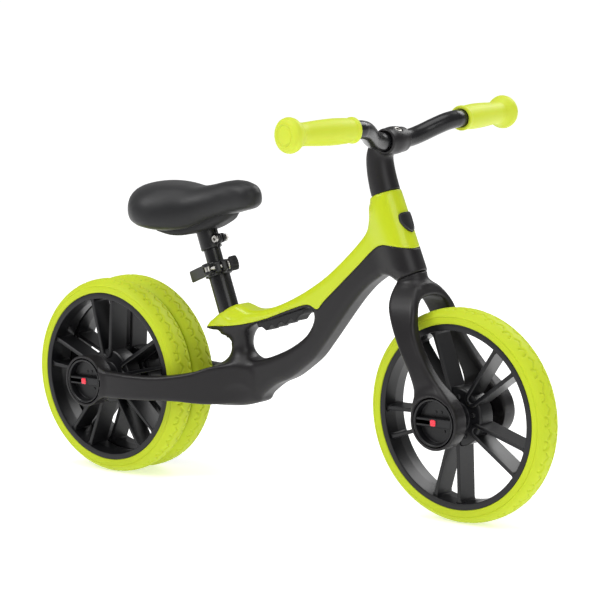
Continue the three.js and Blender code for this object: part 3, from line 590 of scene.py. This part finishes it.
def build_frame():
    """Frame and top cover: one form parted along the cover edge, each half a thin shell."""
    low, high = [-322, -84, 92], [236, 84, 404]
    points, faces = surface_of(frame_field, low, high, 2.3)
    cover = kept_where(points, faces, lambda x, y, z: above_parting(x, y, z) - 0.35)
    lower = kept_where(points, faces, lambda x, y, z: -above_parting(x, y, z) - 0.35)
    new_piece("frame_moulding", [lower, *boss_rings(REAR_AXLE, REAR_FACE)], MOULDED_BLACK, "frame_body",
              ["frame"], [wall(1.8)], sharp=False)
    new_piece("cover_moulding", [cover], COVER_LIME, "frame_body", ["top_cover"],
              [wall(1.8)], sharp=False)


def build_finger_strip():
    """Strip under the carry handle, its lower edge a row of finger hollows that follow a sine."""
    x = np.linspace(46, -34, 73)
    top = np.interp(x, [-34, -10, 10, 31, 48], [216.6, 222.6, 229.5, 236.4, 241.6])
    fade = np.clip(np.minimum(46 - x, x + 34) / 9, 0, 1) ** 0.6
    low = top - fade * (8.4 + 2.6 * np.cos((x + 34) / 80 * TURN * 5))
    outline = np.vstack([np.c_[x, low], np.c_[x[::-1], top[::-1] + 3.0]])
    strip = prism(outline, np.zeros(3), FORWARD, UP, 25, 1.6)
    new_piece("finger_strip", [strip], INSERT_BLACK, "frame_body", ["carry_handle_grip"])


def build_badge():
    """Plain shield standing 1.3 mm proud on the front of the head tube, with a raised rim."""
    shield = rounded_loop([[-11, 12], [11, 12], [12.5, 2], [8, -9], [0, -15], [-8, -9], [-12.5, 2]], 4, 3)

    def field(x, y, z):
        radius = np.hypot(x, y)
        edge = outline_distance(y, z - 62, shield)
        height = HEAD_R + 1.7 + 0.5 * (edge > -1.8)
        return shared(np.abs(radius - height + 0.9) - 0.9, np.maximum(edge, -x), 0.4)

    points, faces = surface_of(field, [10, -15, 44], [24, 15, 77], 0.5)
    across, third = axes_for(HEAD_DIR)
    points = HEAD_BASE + points[:, :1] * across + points[:, 1:2] * third + points[:, 2:] * HEAD_DIR
    new_piece("shield_badge", [(points, faces)], CLAMP_BLACK, "frame_body", ["head_badge"],
              sharp=False)


# Wheels -----------------------------------------------------------------------

RIM_R = 112.0
RIM_INNER_R = 104.5
RIM_HALF = 18.3
SPOKE_PAIRS = 5
FRONT_ANGLE = 45.5
REAR_ANGLE = 22.0
TREAD_PITCHES = 28
PITCH_STEPS = 24
TREAD_DEPTH = 1.7
STROKE_HALF = 1.1


def tread_depth(angle, y):
    """Depth of the tread's grooves at a turn angle and a distance across the tyre.

    Each pitch holds a scallop, an arc 5.2 mm in radius, and a chevron of two straight strokes; the other
    half of the tread repeats it half a pitch on. Depth falls off as a bell on each side of a stroke."""
    groove = np.zeros(np.broadcast_shapes(np.shape(angle), np.shape(y)))
    pitch = TURN * TYRE_R / TREAD_PITCHES
    for side, offset in ((-1, 0.0), (1, 0.5)):
        u = ((angle / TURN * TREAD_PITCHES + offset) % 1.0) * pitch
        v = side * y
        scallop = np.abs(np.hypot(u - 0.27 * pitch, v - 11.5) - 5.2) + 9 * np.maximum(v - 12.4, 0)
        stroke = np.abs(np.abs(u - 0.75 * pitch) * 0.75 - (v - 3.2)) + 9 * np.maximum(v - 8.5, 0)
        for distance in (scallop, stroke):
            groove = np.maximum(groove, np.exp(-((distance / STROKE_HALF) ** 2)))
    return TREAD_DEPTH * groove


def build_tyre(wheel, axle, y):
    """Foam tyre: a rounded section turned about the axle, with the tread's grooves pressed into it."""
    side = smooth_curve([[112.3, 16.2], [112.4, 18.2], [114, 18.85], [117, 19], [119.6, 18.9], [120.3, 18.35],
                         [121, 18.8], [122.2, 18.7], [124.5, 16.9], [127.3, 13.2], [129.2, 8.6],
                         [129.9, 4.2], [130, 0]], 5)
    section = np.vstack([[[107.6, 13.6]], side, side[-2::-1] * [1, -1], [[107.6, -13.6]]])
    segments = TREAD_PITCHES * PITCH_STEPS
    angle = np.linspace(0, TURN, segments, endpoint=False)[None, :]
    across = section[:, 1:]
    crown = np.clip((section[:, :1] - 122) / 3, 0, 1)
    radius = section[:, :1] - crown * tread_depth(angle, across)
    points = np.stack([radius * np.cos(angle), across + 0 * angle, radius * np.sin(angle)], axis=-1)
    points = points.reshape(-1, 3) + [axle[0], y, AXLE_Z]
    faces = grid_quads(len(section), segments, wrap_rows=True, wrap_cols=True)
    new_piece(f"foam_{wheel}", [(points, faces)], FOAM_LIME, f"{wheel}_body", [f"{wheel}_tyre"])


def spoke_outline():
    """One rib pair in (across, outwards): a deep U whose ribs flare where they meet the rim."""
    arc = np.radians(np.linspace(0, -180, 13))
    end = RIM_INNER_R + 1.2
    right = [[24.5, end], [21.5, 102], [20.0, 98.5]]
    outer = np.c_[9.7 * np.cos(arc), 33 + 9.7 * np.sin(arc)]
    left = [[-20.0, 98.5], [-21.5, 102], [-24.5, end]]
    left_in = [[-11.5, end], [-14.0, 102], [-14.9, 98.5]]
    inner = np.c_[4.6 * np.cos(arc[::-1]), 33 + 4.6 * np.sin(arc[::-1])]
    right_in = [[14.9, 98.5], [14.0, 102], [11.5, end]]
    return np.vstack([right, outer, left, left_in, inner, right_in])


def build_core(wheel, axle, y, right_end, left_end, first_angle):
    """Moulded wheel: rim and hub turned about the axle, with five deep rib pairs standing between them."""
    place = np.array([axle[0], y, AXLE_Z])
    rim = rounded_loop([[RIM_INNER_R, -RIM_HALF], [RIM_R, -RIM_HALF], [RIM_R, -16.4], [107, -14],
                        [107, 14], [RIM_R, 16.4], [RIM_R, RIM_HALF], [RIM_INNER_R, RIM_HALF],
                        [RIM_INNER_R - 0.2, 15.6], [RIM_INNER_R - 1.4, 0],
                        [RIM_INNER_R - 0.2, -15.6]], 0.7, 3)
    hub = rounded_loop([[9, -right_end], [17.8, -right_end], [19, -13.5], [33.5, -12.6], [36, -11],
                        [36, 11], [33.5, 12.6], [21, 13.5], [17.8, left_end], [9, left_end]], 1.2, 3)
    surfaces = [turned(rim, place, SIDE, 120), turned(hub, place, SIDE, 72)]
    for i in range(SPOKE_PAIRS):
        turn = np.radians(first_angle + 360 / SPOKE_PAIRS * i)
        outwards = np.array([np.cos(turn), 0, np.sin(turn)])
        across = np.cross(SIDE, outwards)
        surfaces.append(prism(spoke_outline(), place, across, outwards, 30, 0.9))
    new_piece(f"moulded_{wheel}", surfaces, WHEEL_BLACK, f"{wheel}_body", [f"{wheel}_core"])


def build_wheels():
    """Three tyres and cores, with the front hub's five screws. The rear hubs meet between their wheels."""
    wheels = [("front_wheel", FRONT_AXLE, 0.0, 36.5, 36.5, FRONT_ANGLE),
              ("rear_wheel_right", REAR_AXLE, -REAR_Y, 36.5, 18, REAR_ANGLE),
              ("rear_wheel_left", REAR_AXLE, REAR_Y, 18, 36.5, REAR_ANGLE)]
    for wheel, axle, y, *_ in wheels:
        build_tyre(wheel, axle, y)
    for row in wheels:
        build_core(*row)
    for i in range(SPOKE_PAIRS):
        turn = np.radians(FRONT_ANGLE + 36 + 72 * i)
        base = [FRONT_AXLE[0] + 25 * np.cos(turn), -12.6, AXLE_Z + 25 * np.sin(turn)]
        screw = turned([[0, 1.4, 0], [1.3, 1.4, 1], [1.3, 2.2, 1], [2.5, 2.4, 0], [3.1, 1.6, 0],
                        [3.1, 0, 0], [0, 0, 0]], np.array(base), -SIDE, 24, hexagon)
        new_piece(f"hub_screw_head_{i + 1}", [screw], CLAMP_BLACK, "front_wheel_body",
                  [f"hub_screw_{i + 1}"])


# Axle ends --------------------------------------------------------------------

KNOB_R = 28.8


def build_axle_end(side_name, axle, face, fixed_body):
    """Right-hand release knob, a bowl with a slotted finger bar, its red button, and the left cap."""
    front = np.array([axle[0], -face - 0.5, AXLE_Z])
    profile = rounded_loop([[0, 13], [KNOB_R, 13], [KNOB_R, 0], [27.2, 0], [26.0, 1.0], [25.4, 10.6],
                            [0, 10.6]], 0.9, 4)
    profile[np.abs(profile[:, 0]) < 1.2, 0] = 0  # its two corners on the axis stay square
    bowl = turned(profile[:-1], front, SIDE, 96)
    bar_outline = rounded_loop([[25.6, -5], [25.6, 5], [-25.6, 5], [-25.6, 1.7], [-4, 1.7], [-4, -1.7],
                                [-25.6, -1.7], [-25.6, -5]], 0.8, 3)
    bar = prism(bar_outline, front + [0, 6.2, 0], FORWARD, UP, 9.8, 0.7)
    socket = prism(rounded_square(10.4, 2.2), front + [0, 5.0, 0], FORWARD, UP, 9.0, 0.5)
    pips = [turned([[0, 0], [1.9, 0], [1.5, 0.9], [0, 0.9]], front + [x, 10.7, z], -SIDE, 20)
            for x, z in ((-2.5, 11.5), (5.5, 12.0), (9.5, -10.5))]
    new_piece(f"{side_name}_knob_bowl", [bowl, bar, socket, *pips], WHEEL_BLACK, f"{side_name}_knob_body",
              [f"{side_name}_release_knob"])
    button = prism(rounded_square(8.0, 2.0), front + [0, 3.1, 0], FORWARD, UP, 7.2, 1.0)
    new_piece(f"{side_name}_button_cap", [button], BUTTON_RED, f"{side_name}_button_body",
              [f"{side_name}_release_button"], [bevel(0.5)])
    cap = rounded([[0, -13], [KNOB_R, -13], [KNOB_R, -1.6], [KNOB_R - 1.6, -0.4], [KNOB_R - 4.4, -0.2],
                   [KNOB_R - 5.4, -1.6], [KNOB_R - 7, -1.8], [14, -0.6], [12.6, 0], [0, 0]], 1.0, 4)
    new_piece(f"{side_name}_cap_dome", [turned(cap, np.array([axle[0], face + 0.5, AXLE_Z]), SIDE, 96)],
              WHEEL_BLACK, fixed_body, [f"{side_name}_axle_cap"])


def rounded_square(size, radius):
    """Outline of a square with rounded corners."""
    h = size / 2
    return rounded_loop([[-h, -h], [h, -h], [h, h], [-h, h]], radius, 4)


# Saddle, post and clamp -------------------------------------------------------

CLAMP_TURN = np.radians(35)


def clamp_axes():
    """Axes of the saddle clamp: towards its ears, up the seat, and along its bolt to the lever."""
    across, _ = axes_for(SEAT_DIR)
    ears = across * np.cos(CLAMP_TURN) - SIDE * np.sin(CLAMP_TURN)
    bolt = -across * np.sin(CLAMP_TURN) - SIDE * np.cos(CLAMP_TURN)
    return ears, SEAT_DIR, bolt


def placed(surface, origin, axes):
    """Surface worked out in local coordinates, carried to origin with the given axes."""
    points, faces = surface
    return origin + points @ np.array(axes), faces


def brick(x, y, z, centre_at, half, radius):
    """Field of a box with rounded edges and corners."""
    parts = [np.abs(v - c) - h + radius for v, c, h in zip((x, y, z), centre_at, half)]
    outside = np.sqrt(sum(np.maximum(p, 0) ** 2 for p in parts))
    return outside + np.minimum(np.maximum(np.maximum(parts[0], parts[1]), parts[2]), 0) - radius


def collar_field(x, y, z):
    """Clamp ring with two ears, slit between them."""
    around = np.hypot(x, z)
    ring = shared(around - 17.6, np.abs(y - 10) - 9, 1.2)
    ears = brick(x, y, z, (22.9, 10, 0), (6.5, 7, 8.6), 3)
    body = blended(ring, ears, 4)
    body = np.maximum(body, -np.maximum(np.abs(z) - 1.3, 11 - x))
    return np.maximum(body, 14.3 - around)


def lever_field(x, y, z):
    """Cam lever: an eye round the barrel running into a blade that thins and lifts towards its tip."""
    eye = shared(np.hypot(x, z) - 6.3, np.abs(y) - 7.5, 1.2)
    lift = 1.4 + 0.0016 * np.maximum(x - 6, 0) ** 2
    blade = brick(x, y, z - lift, (23.5, 0, 0), (22.5, 7.6, 2.2), 1.6)
    body = blended(eye, blade, 4)
    return np.maximum(body, -np.maximum(np.abs(y) - 3.2, x - 5))


def build_clamp():
    """Saddle clamp: ring, cross bolt with its barrel and washer, ribbed thumb wheel and cam lever."""
    axes = clamp_axes()
    ears, up, bolt = axes
    collar = placed(surface_of(collar_field, [-20, -1, -19], [32, 21, 19], 0.8), SEAT_BASE, axes)
    new_piece("clamp_ring", [collar], CLAMP_BLACK, "frame_body", ["clamp_collar"], sharp=False)
    across_at = SEAT_BASE + ears * 24.4 + up * 10
    barrel = rod(4.0, LEVER_PIVOT - up * 7.6, LEVER_PIVOT + up * 7.6, 0.8)
    shaft = rod(2.5, LEVER_PIVOT, across_at - bolt * 20, 0.6)
    new_piece("clamp_cross_bolt", [barrel, shaft], BRIGHT_STEEL, "frame_body", ["clamp_bolt"])
    washer = rounded_loop([[2.8, -10.8], [6.4, -10.8], [6.4, -8.9], [2.8, -8.9]], 0.4, 3)
    new_piece("clamp_thrust_washer", [turned(washer, across_at, bolt, 40)], BRIGHT_STEEL, "frame_body",
              ["clamp_washer"])
    thumb = [[0, 11.2, 0], [6.6, 11.2, 0], [7.6, 11.8, 0.4], [8.9, 12.8, 1], [9.0, 17, 1], [8.9, 20.8, 1],
             [8.0, 22, 0.6], [4.4, 22.2, 0], [3.6, 21.4, 0], [0, 21.4, 0]]
    new_piece("thumb_wheel", [turned(thumb, across_at, -bolt, 144, ribbed)], INSERT_BLACK, "thumb_nut_body",
              ["clamp_thumb_nut"])
    spread = np.radians(180 - 22.3)
    along_blade = ears * np.cos(spread) + bolt * np.sin(spread)
    off_blade = -ears * np.sin(spread) + bolt * np.cos(spread)
    lever = placed(surface_of(lever_field, [-9, -9, -9], [49, 9, 12], 0.8), LEVER_PIVOT,
                   (along_blade, up, off_blade))
    new_piece("quick_release_lever", [lever], CLAMP_BLACK, "lever_body", ["clamp_lever"],
              sharp=False)


SLEEVE_BOLT_AT = 46.5


def sleeve_field(x, y, z):
    """Saddle sleeve: a short tube with a slit ear on its front that the bolt draws together."""
    around = np.hypot(x, z)
    tube = shared(around - 13.8, np.abs(y - 50) - 13, 1.2)
    ear = brick(x, y, z, (17, SLEEVE_BOLT_AT, 0), (7.2, 6.0, 7.5), 4)
    body = blended(tube, ear, 3)
    body = np.maximum(body, -np.maximum(np.abs(z) - 1.2, 6 - x))
    return np.maximum(body, 11.2 - around)


def build_post():
    """Sleeve with its pinch bolt and nut, the saddle post and the seat tube."""
    across, third = axes_for(SEAT_DIR)
    sleeve = placed(surface_of(sleeve_field, [-16, 35, -16], [26, 65, 16], 0.8), SEAT_BASE,
                    (across, SEAT_DIR, third))
    new_piece("saddle_sleeve_clamp", [sleeve], CLAMP_BLACK, "saddle_body", ["saddle_sleeve"],
              sharp=False)
    bolt_at = SEAT_BASE + across * 18.5 + SEAT_DIR * SLEEVE_BOLT_AT
    new_piece("sleeve_pinch_bolt", [socket_bolt(bolt_at, -SIDE, 4.6, 7.8, 11.2, 2.3, 3.0, -12)], BRIGHT_STEEL,
              "saddle_body", ["sleeve_bolt"])
    nut = turned([[0, 7.9, 1], [5.4, 7.9, 1], [5.4, 11.6, 1], [0, 11.6, 1]], bolt_at, SIDE, 72, hexagon)
    new_piece("sleeve_pinch_nut", [nut], BRIGHT_STEEL, "saddle_body", ["sleeve_nut"], [bevel(0.3)])
    post = rounded_loop([[9, -64], [11, -64], [11, 62], [9, 62]], 0.5, 3)
    new_piece("saddle_post", [turned(post, SEAT_BASE, SEAT_DIR, 64)], TUBE_BLACK, "saddle_body",
              ["seat_post"])
    tube = rounded_loop([[11.3, -70], [14, -70], [14, 12], [11.3, 12]], 0.5, 3)
    new_piece("seat_tube_shell", [turned(tube, SEAT_BASE, SEAT_DIR, 72)], TUBE_BLACK, "frame_body",
              ["seat_tube"])


SADDLE_X = np.array([-240, -236, -226, -208, -185, -160, -135, -110, -85, -62, -46, -38, -33.5])
SADDLE_HALF = np.array([8, 27, 45, 59, 63, 55.5, 43, 32.5, 26.5, 23, 19, 13.5, 4])
SADDLE_TOP = np.array([364, 376, 386, 391, 391.5, 389.5, 387, 390, 395.5, 398, 396, 391, 383])
SADDLE_LOW = np.array([352, 346, 340, 334, 330.5, 331.5, 335.5, 344.5, 353, 359, 362.5, 365, 372])


def saddle_shape(shrink):
    """Saddle pad as rings across its length.

    Half width, top and lower edge are curves in x. Each ring is a superellipse: its upper half is a dome
    from the widest line to the top, and its lower half turns in sharply to a shallow hollow underside."""
    curve = smooth_curve(np.c_[SADDLE_X, SADDLE_HALF, SADDLE_TOP, SADDLE_LOW], 6)
    x, half, top, low = curve.T
    half, top, low = half - shrink, top - shrink, low + shrink
    angle = np.linspace(0, TURN, 72, endpoint=False)
    c, s = np.cos(angle), np.sin(angle)
    y = np.sign(c) * np.abs(c) ** np.where(s > 0, 0.75, 0.45)
    widest = low + 0.34 * (top - low)
    rise = np.where(s > 0, np.abs(s) ** 0.9, 0)
    drop = np.where(s < 0, np.abs(s) ** 0.6, 0)
    z = widest[:, None] + rise * (top - widest)[:, None] - drop * (widest - low)[:, None]
    points = np.stack([x[:, None] + 0 * y, half[:, None] * y, z], axis=-1)
    ends = [np.repeat(points[i].mean(axis=0)[None, None], 72, axis=1) for i in (0, -1)]
    points = np.concatenate([ends[0], points, ends[1]])
    return points.reshape(-1, 3), grid_quads(len(points), 72, wrap_cols=True)


def build_saddle():
    """Padded cushion over a shallow pan."""
    cushion = new_piece("saddle_pad", [saddle_shape(1.2)], SADDLE_SKIN, "saddle_body", ["saddle_cushion"],
                        sharp=False)
    puff_up(cushion, 2.0)
    cushion.modifiers.new("Smooth", "SUBSURF").levels = 1
    cushion.modifiers["Smooth"].render_levels = 1

    outline = rounded_loop([[-203, 345], [-195, 330], [-165, 324], [-146, 324.5], [-110, 334], [-82, 347],
                            [-72, 357], [-90, 368], [-203, 358]], 9, 5)
    plan = smooth_curve([[-207, 0], [-204, 22], [-192, 31], [-165, 31], [-135, 25], [-110, 19], [-86, 15],
                         [-72, 7], [-69, 0], [-72, -7], [-86, -15], [-110, -19], [-135, -25], [-165, -31],
                         [-192, -31], [-204, -22]], 4, closed=True)

    def field(x, y, z):
        return shared(outline_distance(x, z, outline), outline_distance(x, y, plan), 6)

    base = surface_of(field, [-212, -36, 318], [-62, 36, 374], 1.8)
    new_piece("saddle_pan", [base], INSERT_BLACK, "saddle_body", ["saddle_base"], sharp=False)


def puff_up(piece, cap):
    """Fills the pad out under light pressure, then holds every point within cap millimetres of its start."""
    bpy.context.view_layer.objects.active = piece
    remesh = piece.modifiers.new("Even", "REMESH")
    remesh.mode = "VOXEL"
    remesh.voxel_size = 4.5 * MM
    bpy.ops.object.modifier_apply(modifier=remesh.name)
    count = len(piece.data.vertices)
    before = np.empty(count * 3)
    piece.data.vertices.foreach_get("co", before)
    cloth = piece.modifiers.new("Fill", "CLOTH")
    cloth.settings.use_pressure = True
    cloth.settings.uniform_pressure_force = 4
    cloth.settings.effector_weights.gravity = 0
    for frame_number in range(1, 21):
        scene.frame_set(frame_number)
    bpy.ops.object.modifier_apply(modifier=cloth.name)
    scene.frame_set(1)
    after = np.empty(count * 3)
    piece.data.vertices.foreach_get("co", after)
    move = (after - before).reshape(-1, 3)
    length = np.linalg.norm(move, axis=1)[:, None]
    move *= np.minimum(1, cap * MM / np.maximum(length, 1e-9))
    piece.data.vertices.foreach_set("co", before + move.ravel())
    smooth = piece.modifiers.new("Ease", "SMOOTH")
    smooth.factor, smooth.iterations = 0.5, 6
    bpy.ops.object.modifier_apply(modifier=smooth.name)
    piece.data.polygons.foreach_set("use_smooth", np.ones(len(piece.data.polygons), bool))


# Fork, stem and handlebar -----------------------------------------------------

FORK_SIDE = rounded_loop([[195, 289], [196, 276], [199, 262], [206, 246], [215, 228], [229, 206], [243, 186],
                          [252, 166], [252, 130], [312, 130], [298, 162], [274, 187], [256, 212], [244, 234],
                          [242, 255], [237, 272], [230, 289]], 16, 4)
FORK_FRONT = np.vstack([
    [[-20, 289]],
    smooth_curve([[13, 289], [20, 284.5], [27, 278], [34, 270], [41, 259], [46, 245], [50, 228], [55, 206],
                  [58, 186], [59.4, 166], [59.4, 110]], 3),
    smooth_curve([[38, 110], [40, 163], [40, 187], [37, 214], [33, 236], [31, 250], [26, 262], [16, 269],
                  [0, 271]], 3),
    [[-20, 271]],
])
STEM_LINE = smooth_curve([[172, 386, 18.3], [167, 402, 17.9], [163, 420, 17.2], [162, 436, 16.4],
                          [167, 448, 15.6], [176, 454, 15], [183, 456, 15]], 4)


def fork_field(x, y, z):
    """Fork: its front outline met with its side outline, flowing into the neck above and the bosses below."""
    legs = shared(outline_distance(np.abs(y), z, FORK_FRONT), outline_distance(x, z, FORK_SIDE), 5)
    around, up = axis_distance(x, y, z, HEAD_BASE, HEAD_DIR)
    waist = np.interp(up, [-18, -6, 0], [18, 17.6, 18.7])
    neck = shared(around - waist, np.abs(up + 9) - 8.7, 1.2)
    body = shared(blended(legs, neck, 8), up + 0.3, 1.0)
    body = boss_field(x, y, z, FRONT_AXLE, FRONT_FACE, body, 14)
    hub_room = np.hypot(x - FRONT_AXLE[0], z - AXLE_Z) - BOSS_R - 6
    return shared(body, -np.maximum(hub_room, np.abs(y) - 37.5), 1.5)


def stem_field(x, y, z):
    """Stem: a round arm that thins and bends forward into the bar clamp, bored for the bar and bolt.

    The arm is the least distance to its line of (x, z, radius) points, each span's radius shared out
    evenly between its ends."""
    arm = np.full(np.broadcast_shapes(x.shape, y.shape, z.shape), 1e3)
    for start, end in zip(STEM_LINE[:-1], STEM_LINE[1:]):
        span = end[:2] - start[:2]
        part = np.clip(((x - start[0]) * span[0] + (z - start[1]) * span[1]) / (span @ span), 0, 1)
        gap = np.sqrt((x - start[0] - part * span[0]) ** 2 + (z - start[1] - part * span[1]) ** 2 + y ** 2)
        arm = np.minimum(arm, gap - start[2] - part * (end[2] - start[2]))
    _, up = axis_distance(x, y, z, HEAD_BASE, HEAD_DIR)
    arm = shared(arm, HEAD_LENGTH + 0.5 - up, 1.0)
    bar = np.hypot(x - BAR_CENTRE[0], z - BAR_CENTRE[2])
    barrel = shared(bar - 15.4, np.abs(y) - 18, 2.2)
    body = blended(arm, barrel, 7)
    around, up = axis_distance(x, y, z, BAR_CENTRE, BOLT_DIR)
    body = np.maximum(body, -np.maximum(around - 6.1, 12.2 - up))
    return np.maximum(body, -np.maximum(bar - 12.6, 14 - np.abs(y)))


def bar_line():
    """Centreline of the bar: flat in the clamp, then bent up, forward and out to the grips."""
    start, end = np.array([207.0, 98, 476]), np.array([196.0, 208, 477])
    slope = (end - start) / (end[1] - start[1])
    bend = [[183, 0, 456], [183, 12, 456], [183.2, 22, 456.2], [185, 35, 457.8], [189.5, 49, 462],
            [196.5, 63, 468], [203, 77, 473.2], [206.3, 89, 475.5]]
    half = np.vstack([bend, [start + slope * (y - start[1]) for y in (100, 150, 206)]])
    other = half[:0:-1] * [1, -1, 1]
    return smooth_curve(np.vstack([other, half]), 8)


def build_front():
    """Fork, stem with its bolt, bar and the two bulb-ended grips."""
    fork = surface_of(fork_field, [180, -64, 92], [318, 64, 300], 2.0)
    new_piece("fork_moulding", [fork, *boss_rings(FRONT_AXLE, FRONT_FACE)], MOULDED_BLACK, "steering_body",
              ["fork"], sharp=False)
    stem = surface_of(stem_field, [128, -27, 388], [206, 27, 478], 1.3)
    new_piece("stem_moulding", [stem], MOULDED_BLACK, "steering_body", ["stem"], sharp=False)
    bolt = socket_bolt(BAR_CENTRE, BOLT_DIR, 5.4, 12.5, 16, 2.7, 3.0, -20)
    new_piece("bar_clamp_bolt", [bolt], BRIGHT_STEEL, "steering_body", ["bar_bolt"])
    new_piece("bar_tube", [swept(bar_line(), BAR_R, 48)], TUBE_BLACK, "steering_body", ["handlebar"])
    profile = rounded([[11.3, 105], [11.3, 0.3], [14.8, 0], [15.6, 1.4], [15.6, 4.8], [14.1, 6.6], [15.0, 14],
                       [15.7, 30], [15.6, 42], [15.0, 58], [14.0, 75], [13.6, 82], [14.2, 89], [16.6, 94.4],
                       [19.9, 98.6], [21.1, 103.4], [20.1, 107.8], [17.2, 110.6], [13.4, 111.7],
                       [12.4, 110.7], [11.0, 110.7], [10.0, 111.8], [0, 112.3]], 1.2, 3)
    profile = np.vstack([[[0, 105]], profile])
    for name, side in (("right", -1), ("left", 1)):
        start, end = np.array([206.4, side * 104, 476.1]), np.array([196.0, side * 208, 477])
        grip = turned(profile, start, (end - start) / np.linalg.norm(end - start), 72)
        new_piece(f"bulb_grip_{name}", [grip], GRIP_LIME, "steering_body", [f"grip_{name}"],
                  sharp=False)


# Camera, light and floor ------------------------------------------------------


FLOOR_REACH = 60
CLEAR_VIEW = (0.1, 100)


def add_lamp(light, place):
    """Puts a light at place, turned to face the bike."""
    lamp = add_object(light.name, light)
    lamp.location = place
    lamp.rotation_euler = (Vector(place) - Vector((0, 0, 0.2))).to_track_quat("Z", "Y").to_euler()


def build_studio():
    """Camera, three soft lamps, a wide sun, a white world and a white floor."""
    azimuth, elevation, roll = np.radians(40.51), np.radians(8.08), -0.02505
    target, distance = np.array([29.2, 0, 250.7]), 3061.0
    back = np.array([np.sin(azimuth) * np.cos(elevation), -np.cos(azimuth) * np.cos(elevation),
                     np.sin(elevation)])
    right = np.array([np.cos(azimuth), np.sin(azimuth), 0])
    up = np.cross(back, right)
    turned_right = right * np.cos(roll) + up * np.sin(roll)
    turned_up = -right * np.sin(roll) + up * np.cos(roll)
    lens = bpy.data.cameras.new("camera")
    lens.lens, lens.sensor_width = 146.4, 36
    lens.clip_start, lens.clip_end = CLEAR_VIEW
    camera = add_object("camera", lens)
    pose = np.eye(4)
    pose[:3, 0], pose[:3, 1], pose[:3, 2] = turned_right, turned_up, back
    pose[:3, 3] = (target + back * distance) * MM
    camera.matrix_world = Matrix(pose.tolist())
    scene.camera = camera

    for name, place, size, power in (("key", (-1.3, -2.2, 2.6), 1.4, 52), ("fill", (2.6, -1.2, 1.6), 1.6, 24),
                                     ("rim", (0.4, 2.4, 2.2), 1.6, 40)):
        light = bpy.data.lights.new(name, "AREA")
        light.energy, light.size = power, size
        add_lamp(light, place)
    sun = bpy.data.lights.new("sky", "SUN")
    sun.energy, sun.angle = 1.45, np.radians(50)
    add_lamp(sun, (0.1, -0.4, 3.0))
    world = bpy.data.worlds.new("studio")
    world.use_nodes = True
    background = world.node_tree.nodes["Background"].inputs
    background["Color"].default_value = (1, 1, 1, 1)
    background["Strength"].default_value = 0.3
    scene.world = world
    scene.view_settings.view_transform = "Standard"
    scene.view_settings.look = "None"

    mesh = bpy.data.meshes.new("floor")
    corners = [(-FLOOR_REACH, -FLOOR_REACH, 0), (FLOOR_REACH, -FLOOR_REACH, 0),
               (FLOOR_REACH, FLOOR_REACH, 0), (-FLOOR_REACH, FLOOR_REACH, 0)]
    mesh.from_pydata(corners, [], [(0, 1, 2, 3)])
    floor = add_object("floor", mesh)
    paper = node_material("floor_paper", (0.86, 0.86, 0.86), (0.88, 0.88, 0.88), 0.35, 400, 0.02, mottle=2)
    shader = paper.node_tree.nodes["Principled BSDF"].inputs
    shader["Emission Color"].default_value = (1, 1, 1, 1)
    shader["Emission Strength"].default_value = 0.5
    mesh.materials.append(paper)


build_frame()
build_finger_strip()
build_badge()
build_wheels()
build_axle_end("front", FRONT_AXLE, FRONT_FACE, "steering_body")
build_axle_end("rear", REAR_AXLE, REAR_FACE, "frame_body")
build_clamp()
build_post()
build_saddle()
build_front()
build_studio()
